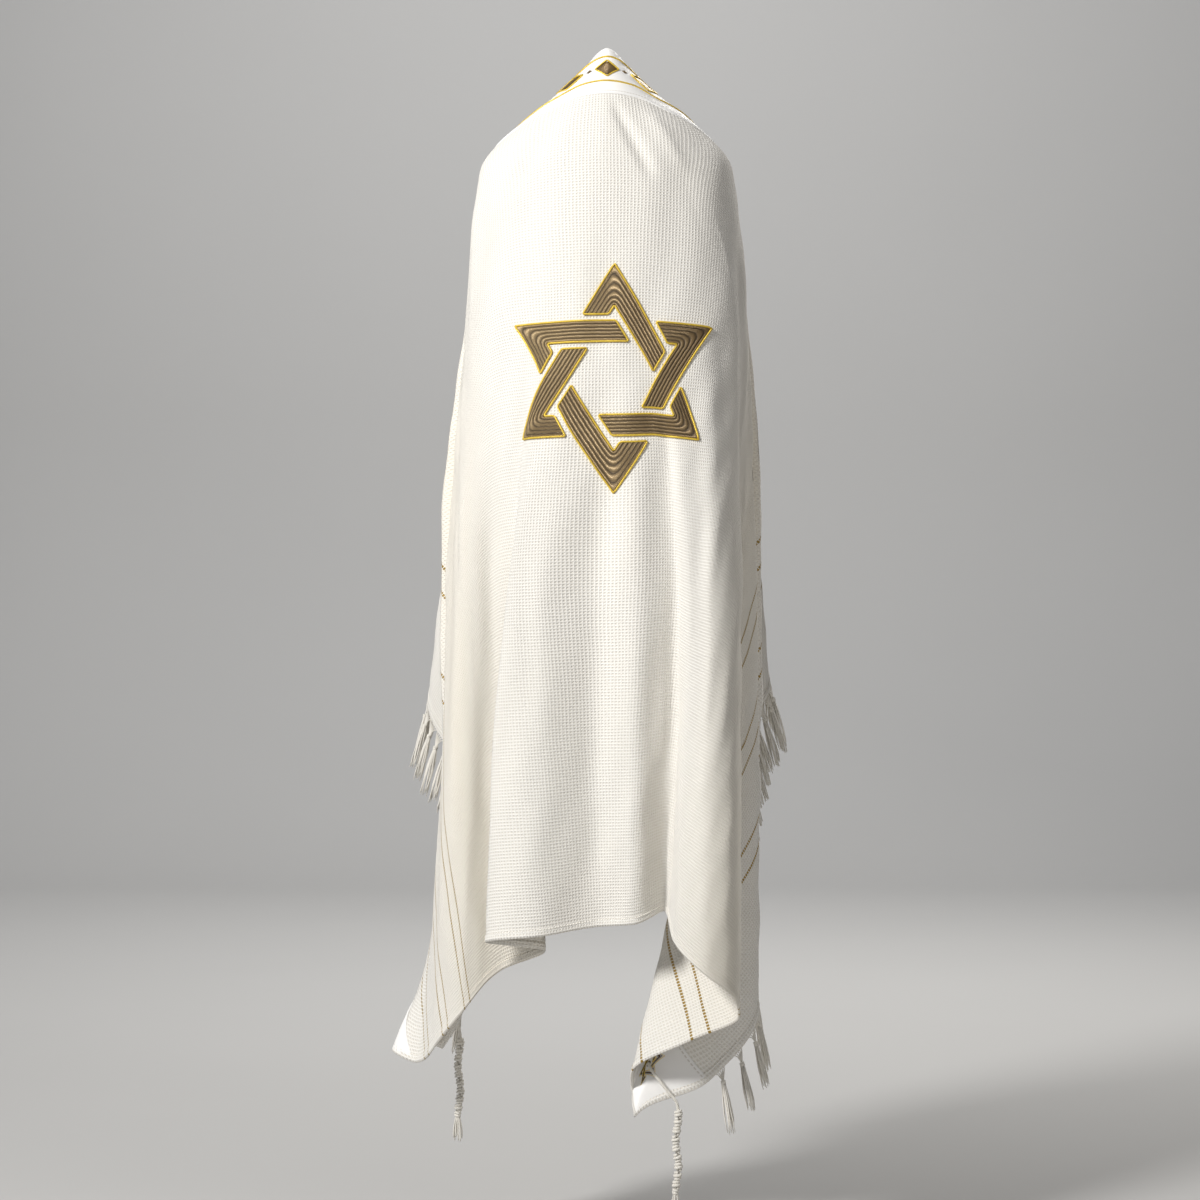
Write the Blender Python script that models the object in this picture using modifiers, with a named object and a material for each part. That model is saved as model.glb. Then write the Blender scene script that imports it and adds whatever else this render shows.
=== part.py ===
"""Prayer shawl (tallit) in its worn, hollow form, with no wearer inside.

One woven rectangle hangs from the back of the neck, goes over both shoulders and falls
open at the front.  Every point of the cloth has a flat place (across, down) on the cut
rectangle.  Straight rays on that rectangle run from the neck to its edge, and each ray
becomes one hanging line of the worn form.  The fold table says where those lines hang, and
the pleat runs gather the cloth between them, where the arms and the open front hold it.

Metres, +Z up, -Y the wearer's back, +Y the open front.  The origin is inside the neck.
"""

import math
from collections import namedtuple

import bmesh
import bpy
import numpy as np
from mathutils import Vector
from mathutils.bvhtree import BVHTree
from mathutils.geometry import barycentric_transform

# ---- the cut ----
HALF_WIDTH = 0.90          # half of the long side, from arm to arm
LENGTH = 1.30              # the short side, from neck to hem
NECK_HALF = 0.12           # half of the top edge that lies round the neck
EDGE_END = HALF_WIDTH + LENGTH   # way round the edge from the hem's middle to a top corner

# ---- thicknesses and gaps ----
CLOTH_THICK = 0.002
APPLIQUE_THICK = 0.0014
SEAM_GAP = 0.0003

# ---- the neck line, from the middle of the back to the front edges ----
NECK_X = 0.070             # half the neck opening at the front
NECK_BACK_Y = -0.040
NECK_DEPTH = 0.190         # pace at which the neck line leaves the back of the neck
NECK_BEND = 0.35           # how much it slows down towards the front
NECK_FALL = 0.030          # how far its front ends turn down
PEAK_Z = 0.075             # the neckband's top, in the middle of the back
PEAK_ROUND = 0.012         # half width over which that top is rounded
PEAK_SLOPE = 1.25          # fall of the neck line for each metre sideways

# ---- how far the cloth drops along a ray ----
SHOULDER_LOSS = 0.045      # length taken up by the slope of the shoulders
SHOULDER_REACH = 0.10      # length of ray over which that loss builds up
BACK_FLAT = 0.35           # way round the edge up to which the back hangs as a flat panel
BACK_FADE = 0.35           # way round over which that flatness goes

# ---- body rings: the smooth form that the folds leave at the top ----
Ring = namedtuple("Ring", "name z half_width half_depth middle_y turns")
TURN_AT = (0.0, 0.15, 0.30, 0.60, 1.25, EDGE_END)       # ways round the edge, in metres
RINGS = (
    Ring("shoulder", -0.10, 0.184, 0.105, 0.000, (0, 11, 23, 46, 92, 150)),
    Ring("chest", -0.35, 0.207, 0.125, 0.000, (0, 16, 34.5, 67, 100, 150)),
    Ring("hip", -0.75, 0.225, 0.145, 0.000, (0, 19, 40, 68, 102, 150)),
)
CHEST_FOLD_SHARE = 0.12    # how much of the hip's folds has formed at the chest

HIP_Z, HEM_Z, FOOT_Z = -0.75, -1.20, -1.40

# ---- folds, from the left front edge round the back to the right front edge ----
# edge: way round the cut edge, from the hem's middle, where the fold line ends
# hip, hem, foot: plan place (x, y) of the fold line at those three heights
# rise: how much the cloth's edge is drawn up there
Fold = namedtuple("Fold", "name edge hip hem foot rise")
FOLDS = (
    Fold("left front edge", -2.200, (-0.078, 0.150), (-0.078, 0.150), (-0.078, 0.150), 0.000),
    Fold("left front pleat", -2.070, (-0.112, 0.190), (-0.112, 0.190), (-0.112, 0.190), 0.000),
    Fold("left front trough", -1.960, (-0.160, 0.145), (-0.160, 0.150), (-0.160, 0.150), 0.000),
    Fold("left flap front", -1.860, (-0.246, 0.150), (-0.278, 0.158), (-0.284, 0.158), -0.010),
    Fold("left flap back", -1.770, (-0.254, 0.122), (-0.290, 0.126), (-0.300, 0.126), -0.010),
    Fold("left arm trough", -1.500, (-0.204, 0.066), (-0.200, 0.090), (-0.200, 0.090), 0.000),
    Fold("left arm pleat", -1.250, (-0.218, 0.030), (-0.222, 0.070), (-0.222, 0.070), 0.010),
    Fold("left fringe start", -1.005, (-0.232, -0.012), (-0.226, 0.020), (-0.198, 0.034), 0.060),
    Fold("left corner", -0.900, (-0.230, -0.030), (-0.243, -0.004), (-0.240, 0.016), 0.085),
    Fold("left lip", -0.830, (-0.227, -0.045), (-0.253, -0.022), (-0.322, -0.018), 0.050),
    Fold("left patch seam", -0.790, (-0.225, -0.054), (-0.253, -0.040), (-0.276, -0.046), 0.016),
    Fold("left side", -0.700, (-0.218, -0.078), (-0.243, -0.080), (-0.248, -0.086), 0.000),
    Fold("left side crest", -0.540, (-0.190, -0.110), (-0.198, -0.128), (-0.192, -0.138), 0.000),
    Fold("left panel", -0.400, (-0.156, -0.116), (-0.150, -0.120), (-0.156, -0.120), 0.000),
    Fold("left inner fold", -0.300, (-0.126, -0.122), (-0.088, -0.108), (-0.086, -0.108), 0.000),
    Fold("left pleat back", -0.252, (-0.132, -0.139), (-0.132, -0.132), (-0.132, -0.132), 0.000),
    Fold("left fold edge", -0.200, (-0.144, -0.156), (-0.170, -0.162), (-0.172, -0.162), 0.000),
    Fold("back left ridge", -0.110, (-0.096, -0.168), (-0.100, -0.190), (-0.100, -0.190), 0.000),
    Fold("back trough", -0.020, (-0.022, -0.154), (-0.016, -0.160), (-0.016, -0.160), 0.006),
    Fold("back ridge", 0.050, (0.036, -0.163), (0.038, -0.174), (0.038, -0.174), 0.012),
    Fold("back valley", 0.130, (0.090, -0.146), (0.081, -0.136), (0.081, -0.136), 0.032),
    Fold("right flank", 0.230, (0.118, -0.172), (0.092, -0.205), (0.090, -0.205), 0.012),
    Fold("right crest", 0.370, (0.152, -0.180), (0.138, -0.245), (0.134, -0.240), 0.000),
    Fold("right shoulder of crest", 0.490, (0.180, -0.156), (0.180, -0.216), (0.174, -0.214), 0.000),
    Fold("right fold edge", 0.570, (0.189, -0.126), (0.187, -0.166), (0.182, -0.184), 0.000),
    Fold("right pleat back", 0.660, (0.176, -0.098), (0.140, -0.116), (0.104, -0.158), 0.000),
    Fold("right inner fold", 0.760, (0.172, -0.074), (0.082, -0.074), (0.032, -0.122), 0.000),
    Fold("right under panel", 0.830, (0.184, -0.056), (0.106, -0.042), (0.042, -0.088), 0.000),
    Fold("right corner", 0.900, (0.194, -0.044), (0.134, -0.034), (0.058, -0.098), 0.008),
    Fold("right fringe start", 1.005, (0.207, -0.024), (0.182, -0.026), (0.148, -0.080), -0.030),
    Fold("right side", 1.120, (0.219, 0.002), (0.222, 0.006), (0.216, -0.020), -0.036),
    Fold("right arm trough", 1.420, (0.194, 0.058), (0.196, 0.060), (0.196, 0.060), -0.010),
    Fold("right arm pleat", 1.690, (0.214, 0.104), (0.222, 0.108), (0.222, 0.108), -0.004),
    Fold("right flap back", 1.800, (0.236, 0.124), (0.262, 0.128), (0.270, 0.128), 0.000),
    Fold("right flap front", 1.885, (0.226, 0.150), (0.250, 0.156), (0.256, 0.156), 0.000),
    Fold("right front trough", 1.970, (0.158, 0.146), (0.158, 0.150), (0.158, 0.150), 0.000),
    Fold("right front pleat", 2.080, (0.112, 0.190), (0.112, 0.190), (0.112, 0.190), 0.000),
    Fold("right front edge", 2.200, (0.080, 0.148), (0.080, 0.148), (0.080, 0.148), 0.000),
)
STEPS_PER_FOLD = 2         # columns of the wall between two fold lines

# ---- pleats gathered where the arms hold the cloth, and down the open front ----
# edge: way round the cut edge; swing: how far that line stands out (+) or in (-)
# starts: share of a ray at which a run's pleats start, past the neckband's ends
Pleat = namedtuple("Pleat", "edge swing")
PleatRun = namedtuple("PleatRun", "starts lines")
PLEAT_RUNS = (
    PleatRun(0.40, (
        Pleat(-2.200, 0.000), Pleat(-2.150, 0.010), Pleat(-2.100, -0.012),
        Pleat(-2.050, 0.014), Pleat(-2.000, -0.012), Pleat(-1.950, 0.012),
        Pleat(-1.905, -0.008), Pleat(-1.860, 0.000))),
    PleatRun(0.25, (
        Pleat(-1.770, 0.000), Pleat(-1.710, -0.015), Pleat(-1.645, 0.017),
        Pleat(-1.585, -0.018), Pleat(-1.520, 0.020), Pleat(-1.460, -0.019),
        Pleat(-1.395, 0.019), Pleat(-1.335, -0.021), Pleat(-1.270, 0.020),
        Pleat(-1.205, -0.019), Pleat(-1.140, 0.017), Pleat(-1.070, -0.012),
        Pleat(-1.005, 0.000))),
    PleatRun(0.25, (
        Pleat(1.120, 0.000), Pleat(1.185, -0.015), Pleat(1.250, 0.018),
        Pleat(1.315, -0.020), Pleat(1.375, 0.021), Pleat(1.440, -0.020),
        Pleat(1.500, 0.019), Pleat(1.565, -0.020), Pleat(1.630, 0.019),
        Pleat(1.695, -0.016), Pleat(1.750, 0.010), Pleat(1.800, 0.000))),
    PleatRun(0.40, (
        Pleat(1.885, 0.000), Pleat(1.935, -0.010), Pleat(1.985, 0.012),
        Pleat(2.035, -0.014), Pleat(2.090, 0.014), Pleat(2.145, -0.012),
        Pleat(2.200, 0.000))),
)
PLEAT_FORMS = 0.22         # share of a ray over which they form
PLEAT_OPENS = 0.32         # share of a ray, up from the edge, over which they open out again
ROWS = 20                  # rows of the wall from neck to edge
ROW_POWER = 1.25           # rows lie closer together near the neck

# ---- sewn-on pieces, in flat places on the cut ----
MERGE = 0.0003             # points of a cut piece closer than this become one
BAND_HALF_LENGTH = 0.43
BAND_WIDTH = 0.098
PATCH_SIDE = 0.105
STAR_ACROSS, STAR_DOWN = 0.010, 0.524
STAR_RADIUS = 0.164
STAR_BAR = 0.030           # width of a bar of the star
STAR_GAP = 0.009           # bare cloth where one bar passes under another

# ---- fringe and corner tassels ----
TASSELS_PER_END = 34
TASSEL_ROOT = 0.006        # length of the strip that one tassel grows from
STRIP_WIDTH = 0.004
STRIP_GAP = 0.0008
STRIP_THICK = 0.0013
EDGE_PROBE = 0.008         # how far round a point the strip's direction is taken
LEAN_PROBE = 0.060         # how far round it a tassel's direction is taken
BEND_CLEARANCE = 0.001     # a tassel keeps this far from a bend of the edge
TASSEL_LEAN = 0.32         # how far a tassel leans off a steep stretch of the edge
TASSEL_STAND = 0.16        # how far it stands off the cloth's face
TASSEL_OUT = 0.003         # how far outside the strip its middle line starts
STEEP = 0.3                # level share of an edge's direction below which it counts as steep
# drop below the strip, half size across and half size in depth of each tassel section
TASSEL_SECTIONS = (
    (0.006, 0.0016, 0.0014),
    (0.012, 0.0032, 0.0030),
    (0.018, 0.0024, 0.0022),
    (0.052, 0.0038, 0.0032),
    (0.080, 0.0030, 0.0022),
)
HOLE_INSET = 0.053         # the eyelet's distance from both edges of a corner
EDGE_CLEARANCE = 0.010     # how far past the edge a corner tassel turns down
CORD_LIFT = 0.002          # how far its widest part stays off the patch
CORD_RADIUS = 0.0036
LOOP_RADIUS = 0.0014       # where the cord comes out of its eyelet
KNOT_RADIUS = 0.0054
CORD_SIDES = 8
KNOT_PITCH = 0.022
CORD_DROP = 0.128          # length of the knotted part
CORD_SWAY = 0.0022         # how far the knotted part wavers from side to side
SWAY_TURN = 1.1            # how far along its waver, in radians, each section moves
BLIND_ANGLE = 0.2          # a heading whose cross product with a guide is less is too near it
LOOSE_LOCKS = 4
# drop below the last knot, spread and size of each section of a loose lock,
# both as shares of the root's own
LOOSE_SECTIONS = (
    (0.020, 1.6, 0.70),
    (0.040, 2.1, 0.52),
)


def smooth(knots, values, at):
    """Monotone cubic through the knots: it rounds each turn and never overshoots."""
    knots = np.asarray(knots, float)
    values = np.asarray(values, float)
    steps = np.diff(knots)
    slopes = np.diff(values, axis=0) / steps.reshape((-1,) + (1,) * (values.ndim - 1))
    tangents = np.zeros_like(values)
    tangents[0], tangents[-1] = slopes[0], slopes[-1]
    for i in range(1, len(knots) - 1):
        before, after = slopes[i - 1], slopes[i]
        w_before = 2 * steps[i] + steps[i - 1]
        w_after = steps[i] + 2 * steps[i - 1]
        same_way = before * after > 0
        safe_before = np.where(same_way, before, 1.0)
        safe_after = np.where(same_way, after, 1.0)
        mean = (w_before + w_after) / (w_before / safe_before + w_after / safe_after)
        tangents[i] = np.where(same_way, mean, 0.0)
    i = int(np.clip(np.searchsorted(knots, at) - 1, 0, len(steps) - 1))
    s = (at - knots[i]) / steps[i]
    if s > 1.0:
        return values[-1] + tangents[-1] * (at - knots[-1])
    return ((1 + 2 * s) * (1 - s) ** 2 * values[i] + s * (1 - s) ** 2 * steps[i] * tangents[i]
            + s * s * (3 - 2 * s) * values[i + 1] + s * s * (s - 1) * steps[i] * tangents[i + 1])


# ---- the flat cut: rays from the neck to the edge ----

def neck_share(edge):
    return edge / EDGE_END


def ray_ends(edge):
    """Flat start and end of the ray that reaches the edge at this way round."""
    side = math.copysign(1.0, edge)
    start = (NECK_HALF * neck_share(edge), 0.0)
    if abs(edge) <= HALF_WIDTH:
        return start, (edge, LENGTH)
    return start, (side * HALF_WIDTH, LENGTH - (abs(edge) - HALF_WIDTH))


def flat_place(edge, share):
    start, end = ray_ends(edge)
    return (start[0] + share * (end[0] - start[0]), start[1] + share * (end[1] - start[1]))


# ---- the worn form ----

def neck_point(edge):
    share = neck_share(edge)
    x = NECK_X * share
    y = NECK_BACK_Y + NECK_DEPTH * (share ** 2 - NECK_BEND * share ** 4)
    z = PEAK_Z - PEAK_SLOPE * (math.hypot(x, PEAK_ROUND) - PEAK_ROUND) - NECK_FALL * share ** 4
    return Vector((x, y, z))


def ring_place(ring, edge):
    turn = math.radians(float(smooth(TURN_AT, ring.turns, abs(edge))))
    x = math.copysign(ring.half_width * math.sin(turn), edge)
    return np.array((x, ring.middle_y - ring.half_depth * math.cos(turn)))


def ease(share):
    share = min(max(share, 0.0), 1.0)
    return share * share * (3 - 2 * share)


def pleat_at(edge):
    """How far a pleat carries this line out, as a plan vector, and where on the ray it starts."""
    turn = math.radians(float(smooth(TURN_AT, RINGS[2].turns, abs(edge))))
    outward = Vector((math.copysign(math.sin(turn), edge), -math.cos(turn), 0.0))
    for run in PLEAT_RUNS:
        edges = [pleat.edge for pleat in run.lines]
        if edges[0] < edge < edges[-1]:
            swing = float(smooth(edges, [pleat.swing for pleat in run.lines], edge))
            return outward * swing, run.starts
    return outward * 0.0, 0.0


def line_levels(edge):
    """Heights and plan places that the hanging line of one ray passes through."""
    edges = [fold.edge for fold in FOLDS]
    hip = smooth(edges, [fold.hip for fold in FOLDS], edge)
    hem = smooth(edges, [fold.hem for fold in FOLDS], edge)
    foot = smooth(edges, [fold.foot for fold in FOLDS], edge)
    shoulder = ring_place(RINGS[0], edge)
    chest = ring_place(RINGS[1], edge) + CHEST_FOLD_SHARE * (hip - ring_place(RINGS[2], edge))
    neck = neck_point(edge)
    heights = (neck.z, RINGS[0].z, RINGS[1].z, HIP_Z, HEM_Z, FOOT_Z)
    places = (np.array(neck[:2]), shoulder, chest, hip, hem, foot)
    return [-z for z in heights], places


def hanging_line(edge, shares):
    """Points of the worn cloth along one ray.

    On the flat of the back a slanted ray hangs only as low as its flat height, so the
    weft stays level there; lower down, where the folds form, it falls by its length."""
    start, end = ray_ends(edge)
    length = math.hypot(end[0] - start[0], end[1] - start[1])
    rise = float(smooth([fold.edge for fold in FOLDS], [fold.rise for fold in FOLDS], edge))
    drops, places = line_levels(edge)
    top = -drops[0]
    swing, starts = pleat_at(edge)
    slack = (length - end[1]) * ease((BACK_FLAT + BACK_FADE - abs(edge)) / BACK_FADE)
    points = []
    for share in shares:
        along = share * length
        fall = along - SHOULDER_LOSS * (1 - math.exp(-along / SHOULDER_REACH))
        level = slack * share * (1 - share ** 3)
        z = top - fall + level + rise * share ** 3
        x, y = smooth(drops, places, -z)
        formed = ease((share - starts) / PLEAT_FORMS) * ease((1 - share) / PLEAT_OPENS)
        points.append(Vector((x, y, z)) + swing * formed)
    return points


def edge_stations():
    """Ways round the edge of the wall's columns: the fold lines, or the pleats' own lines."""
    stations = []
    for first, second in zip(FOLDS, FOLDS[1:]):
        for step in range(STEPS_PER_FOLD):
            edge = first.edge + (second.edge - first.edge) * step / STEPS_PER_FOLD
            if not any(run.lines[0].edge <= edge <= run.lines[-1].edge for run in PLEAT_RUNS):
                stations.append(edge)
    for run in PLEAT_RUNS:
        stations += [pleat.edge for pleat in run.lines]
    return sorted(stations)


class Wall:
    """The outer face of the cloth as triangles, flat and worn, in step with each other."""

    def __init__(self):
        self.edges = edge_stations()
        self.shares = [(row / ROWS) ** ROW_POWER for row in range(ROWS + 1)]
        self.flat, self.worn = [], []
        for edge in self.edges:
            self.worn += hanging_line(edge, self.shares)
            for share in self.shares:
                across, down = flat_place(edge, share)
                self.flat.append(Vector((across, down, 0.0)))
        self.faces = []
        rows = ROWS + 1
        for column in range(len(self.edges) - 1):
            for row in range(ROWS):
                a = column * rows + row
                b, c, d = a + 1, a + rows + 1, a + rows
                if self.edges[column] < 0:
                    self.faces += [(a, b, c), (a, c, d)]
                else:
                    self.faces += [(a, b, d), (b, c, d)]
        self.tree = BVHTree.FromPolygons(self.flat, self.faces)
        self.normals = self.point_normals()

    def point_normals(self):
        normals = [Vector() for _ in self.worn]
        for face in self.faces:
            a, b, c = (self.worn[i] for i in face)
            cross = (b - a).cross(c - a)
            for i in face:
                normals[i] += cross
        return [normal.normalized() for normal in normals]

    def lay(self, across, down):
        """Worn place and outward normal of a flat place, exactly on the wall's faces."""
        place, _, index, _ = self.tree.find_nearest(Vector((across, down, 0.0)))
        corners = self.faces[index]
        flat = [self.flat[i] for i in corners]
        point = barycentric_transform(place, *flat, *[self.worn[i] for i in corners])
        normal = barycentric_transform(place, *flat, *[self.normals[i] for i in corners])
        return point, normal.normalized()


def new_object(name, bm, material, collection):
    mesh = bpy.data.meshes.new(name)
    bm.to_mesh(mesh)
    bm.free()
    obj = bpy.data.objects.new(name, mesh)
    obj.data.materials.append(material)
    collection.objects.link(obj)
    return obj


def bridge(bm, upper, lower):
    """Join two rings of the same number of points with faces."""
    count = len(upper)
    for k in range(count):
        bm.faces.new((upper[k], upper[(k + 1) % count], lower[(k + 1) % count], lower[k]))


def thicken(obj, thickness, offset):
    """Give an open face a wall: offset -1 grows it inwards, +1 outwards."""
    solidify = obj.modifiers.new("wall", "SOLIDIFY")
    solidify.thickness = thickness
    solidify.offset = offset
    solidify.use_quality_normals = True
    return obj


def make_cloth(wall, material, collection):
    bm = bmesh.new()
    verts = [bm.verts.new(point) for point in wall.worn]
    for face in wall.faces:
        bm.faces.new([verts[i] for i in face])
    obj = new_object("cloth", bm, material, collection)
    obj.data.shade_smooth()
    return thicken(obj, CLOTH_THICK, -1.0)


def cut_from_flat(wall, outline):
    """Flat mesh of the cloth inside a convex outline, whose corners run anticlockwise."""
    bm = bmesh.new()
    verts = [bm.verts.new(point) for point in wall.flat]
    for face in wall.faces:
        bm.faces.new([verts[i] for i in face])
    for first, second in zip(outline, outline[1:] + outline[:1]):
        run = Vector((second[0] - first[0], second[1] - first[1], 0.0))
        outward = Vector((run.y, -run.x, 0.0)).normalized()
        geometry = bm.verts[:] + bm.edges[:] + bm.faces[:]
        bmesh.ops.bisect_plane(bm, geom=geometry, dist=1e-6, clear_outer=True,
                               plane_co=Vector((first[0], first[1], 0.0)), plane_no=outward)
    return bm


def sewn_piece(name, wall, outlines, material, collection):
    """A piece that lies on the cloth: cut from its faces, moved out and thickened."""
    bm = bmesh.new()
    for outline in outlines:
        part = cut_from_flat(wall, outline)
        mesh = bpy.data.meshes.new("cut")
        part.to_mesh(mesh)
        part.free()
        bm.from_mesh(mesh)
        bpy.data.meshes.remove(mesh)
    bmesh.ops.remove_doubles(bm, verts=bm.verts[:], dist=MERGE)
    bmesh.ops.triangulate(bm, faces=bm.faces[:])
    for vert in bm.verts:
        point, normal = wall.lay(vert.co.x, vert.co.y)
        vert.co = point + normal * SEAM_GAP
    obj = new_object(name, bm, material, collection)
    obj.data.shade_smooth()
    return thicken(obj, APPLIQUE_THICK, 1.0)


def rectangle(left, right, top, bottom):
    return [(left, top), (right, top), (right, bottom), (left, bottom)]


def make_neckband(wall, material, collection):
    outline = rectangle(-BAND_HALF_LENGTH, BAND_HALF_LENGTH, -SEAM_GAP, BAND_WIDTH)
    return sewn_piece("neckband", wall, [outline], material, collection)


def corner_signs():
    """Name, side and whether it is at the hem, of each of the four corners."""
    return (("upper_left", -1, False), ("upper_right", 1, False),
            ("lower_left", -1, True), ("lower_right", 1, True))


def make_patches(wall, material, collection):
    for name, side, at_hem in corner_signs():
        near, far = sorted((side * (HALF_WIDTH - PATCH_SIDE), side * (HALF_WIDTH + SEAM_GAP)))
        low, high = (LENGTH - PATCH_SIDE, LENGTH + SEAM_GAP) if at_hem else (-SEAM_GAP, PATCH_SIDE)
        outline = rectangle(near, far, low, high)
        sewn_piece("corner_patch_" + name, wall, [outline], material, collection)


def star_arm(tip_angle, side_sign, passes_over):
    """One bar of a star point, from its mitred tip to its end, as a flat outline.

    Two large triangles cross to make the star, and a bar lies inside a triangle's side.
    A bar that passes over the first bar it meets ends at the second one, inside it."""
    slant = math.radians(30)
    tip_inner = STAR_RADIUS - STAR_BAR / math.sin(slant)
    if passes_over:
        facing = Vector((-math.sin(slant), math.cos(slant)))
        reach = STAR_RADIUS / 2 - STAR_BAR - STAR_GAP
    else:
        facing = Vector((-1.0, 0.0))
        reach = -(STAR_RADIUS / 2 + STAR_GAP)
    along = Vector((-math.cos(slant), math.sin(slant)))
    corners = []
    for start in (Vector((STAR_RADIUS, 0.0)), Vector((tip_inner, 0.0))):
        corners += [start, start + along * (reach - facing.dot(start)) / facing.dot(along)]
    tip, outer_end, tip_in, inner_end = corners
    outline = []
    c, s = math.cos(tip_angle), math.sin(tip_angle)
    for corner in (tip, outer_end, inner_end, tip_in):
        x, y = corner.x, corner.y * side_sign
        outline.append((STAR_ACROSS + x * c - y * s, STAR_DOWN + x * s + y * c))
    return outline if side_sign > 0 else outline[::-1]


def make_star(wall, material, collection):
    """Six interlaced points: each has a long bar that passes over and a short one under."""
    for point in range(6):
        angle = math.radians(-90 + 60 * point)
        outlines = [star_arm(angle, 1, True), star_arm(angle, -1, False)]
        sewn_piece("back_star_%d" % (point + 1), wall, outlines, material, collection)


# ---- fringe ----

def end_stations(wall):
    """Flat heights of the fringe strip's cross sections, and the tassels' places.

    The wall's own edge points are among them, so the strip bends where the wall does."""
    low, high = PATCH_SIDE + SEAM_GAP, LENGTH - PATCH_SIDE - SEAM_GAP
    bends = [EDGE_END - edge for edge in wall.edges if low < EDGE_END - edge < high]
    pitch = (high - low) / TASSELS_PER_END
    keep_off = TASSEL_ROOT / 2 + BEND_CLEARANCE
    tassels = []
    for tassel in range(TASSELS_PER_END):
        middle = low + pitch * (tassel + 0.5)
        for bend in bends:
            if abs(bend - middle) < keep_off:
                middle = bend + math.copysign(keep_off, middle - bend)
        tassels.append(middle)
    downs = [low, high] + bends
    for middle in tassels:
        downs += [middle - TASSEL_ROOT / 2, middle + TASSEL_ROOT / 2]
    downs.sort()
    return downs, [downs.index(middle - TASSEL_ROOT / 2) for middle in tassels]


def edge_frame(wall, side, down, probe):
    """Place on the cloth's end, with the edge's run, its outward way and the face's normal."""
    point, normal = wall.lay(side * HALF_WIDTH, down)
    ahead, _ = wall.lay(side * HALF_WIDTH, down + probe)
    behind, _ = wall.lay(side * HALF_WIDTH, down - probe)
    inside, _ = wall.lay(side * (HALF_WIDTH - 2 * EDGE_PROBE), down)
    run = (ahead - behind).normalized()
    out = run.cross(normal).normalized()
    if out.dot(point - inside) < 0:
        out = -out
    return point, run, out, normal


def make_fringe(name, wall, side, material, collection):
    """A narrow strip along one end of the cloth with its tassels grown from it."""
    downs, roots = end_stations(wall)
    bm = bmesh.new()
    rings = []
    for down in downs:
        point, _, out, normal = edge_frame(wall, side, down, EDGE_PROBE)
        near_outer = point + out * STRIP_GAP
        near_inner = near_outer - normal * STRIP_THICK
        corners = (near_outer, near_inner, near_inner + out * STRIP_WIDTH,
                   near_outer + out * STRIP_WIDTH)
        rings.append([bm.verts.new(corner) for corner in corners])
    bm.faces.new(rings[0])
    bm.faces.new(rings[-1][::-1])
    for index, (first, second) in enumerate(zip(rings, rings[1:])):
        for k in range(4):
            quad = (first[k], second[k], second[(k + 1) % 4], first[(k + 1) % 4])
            if k == 2 and index in roots:
                middle = downs[index] + TASSEL_ROOT / 2
                grow_tassel(bm, quad, edge_frame(wall, side, middle, LEAN_PROBE))
            else:
                bm.faces.new(quad)
    bmesh.ops.recalc_face_normals(bm, faces=bm.faces[:])
    obj = new_object(name, bm, material, collection)
    obj.data.shade_smooth()
    return obj


def grow_tassel(bm, root, frame):
    """Hang one four-sided knotted lock from the root face of the strip."""
    _, run, out, normal = frame
    level_run = Vector((run.x, run.y, 0.0))
    across = level_run.normalized() if level_run.length > STEEP else run
    lean = out * TASSEL_LEAN * abs(run.z) + normal * TASSEL_STAND
    down = Vector((lean.x, lean.y, -1.0)).normalized()
    deep = across.cross(down).normalized()
    if deep.dot(normal) < 0:
        deep = -deep
    start = sum((vert.co for vert in root), Vector()) / 4 + out * TASSEL_OUT
    last = root
    for drop, half_across, half_deep in TASSEL_SECTIONS:
        centre = start + down * drop
        corners = []
        for sign_across, sign_deep in ((-1, -1), (1, -1), (1, 1), (-1, 1)):
            corners.append(bm.verts.new(centre + across * sign_across * half_across
                                        + deep * sign_deep * half_deep))
        bridge(bm, last, corners)
        last = corners
    bm.faces.new(last)


# ---- corner tassels ----

def cord_path(wall, side, at_hem):
    """Middle line of a corner tassel: through the eyelet, over the end, then straight down."""
    down = LENGTH - HOLE_INSET if at_hem else HOLE_INSET
    patch_top = SEAM_GAP + APPLIQUE_THICK
    hole, normal = wall.lay(side * (HALF_WIDTH - HOLE_INSET), down)
    points = [hole + normal * (patch_top + 2 * SEAM_GAP),
              hole + normal * (patch_top + SEAM_GAP + KNOT_RADIUS)]
    for share in (0.5, 1.0):
        point, normal = wall.lay(side * (HALF_WIDTH - HOLE_INSET * (1 - share)), down)
        points.append(point + normal * (patch_top + KNOT_RADIUS + CORD_LIFT))
    inside, _ = wall.lay(side * (HALF_WIDTH - 2 * EDGE_PROBE), down)
    edge, _ = wall.lay(side * HALF_WIDTH, down)
    points.append(points[-1] + (edge - inside).normalized() * EDGE_CLEARANCE)
    turn = points[-1]
    sections = int(CORD_DROP / KNOT_PITCH * 2)
    for step in range(1, sections + 1):
        sway = CORD_SWAY * math.sin(step * SWAY_TURN)
        points.append(turn + Vector((sway, 0.0, -CORD_DROP * step / sections)))
    return points


def cord_radii(path):
    """Radius at each point of the path: a thin loop, the bare cord, then knot after knot."""
    hanging = 5
    radii = [LOOP_RADIUS] + [CORD_RADIUS] * (hanging - 1)
    for index in range(hanging, len(path)):
        radii.append(KNOT_RADIUS if index % 2 else CORD_RADIUS)
    return radii


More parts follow.
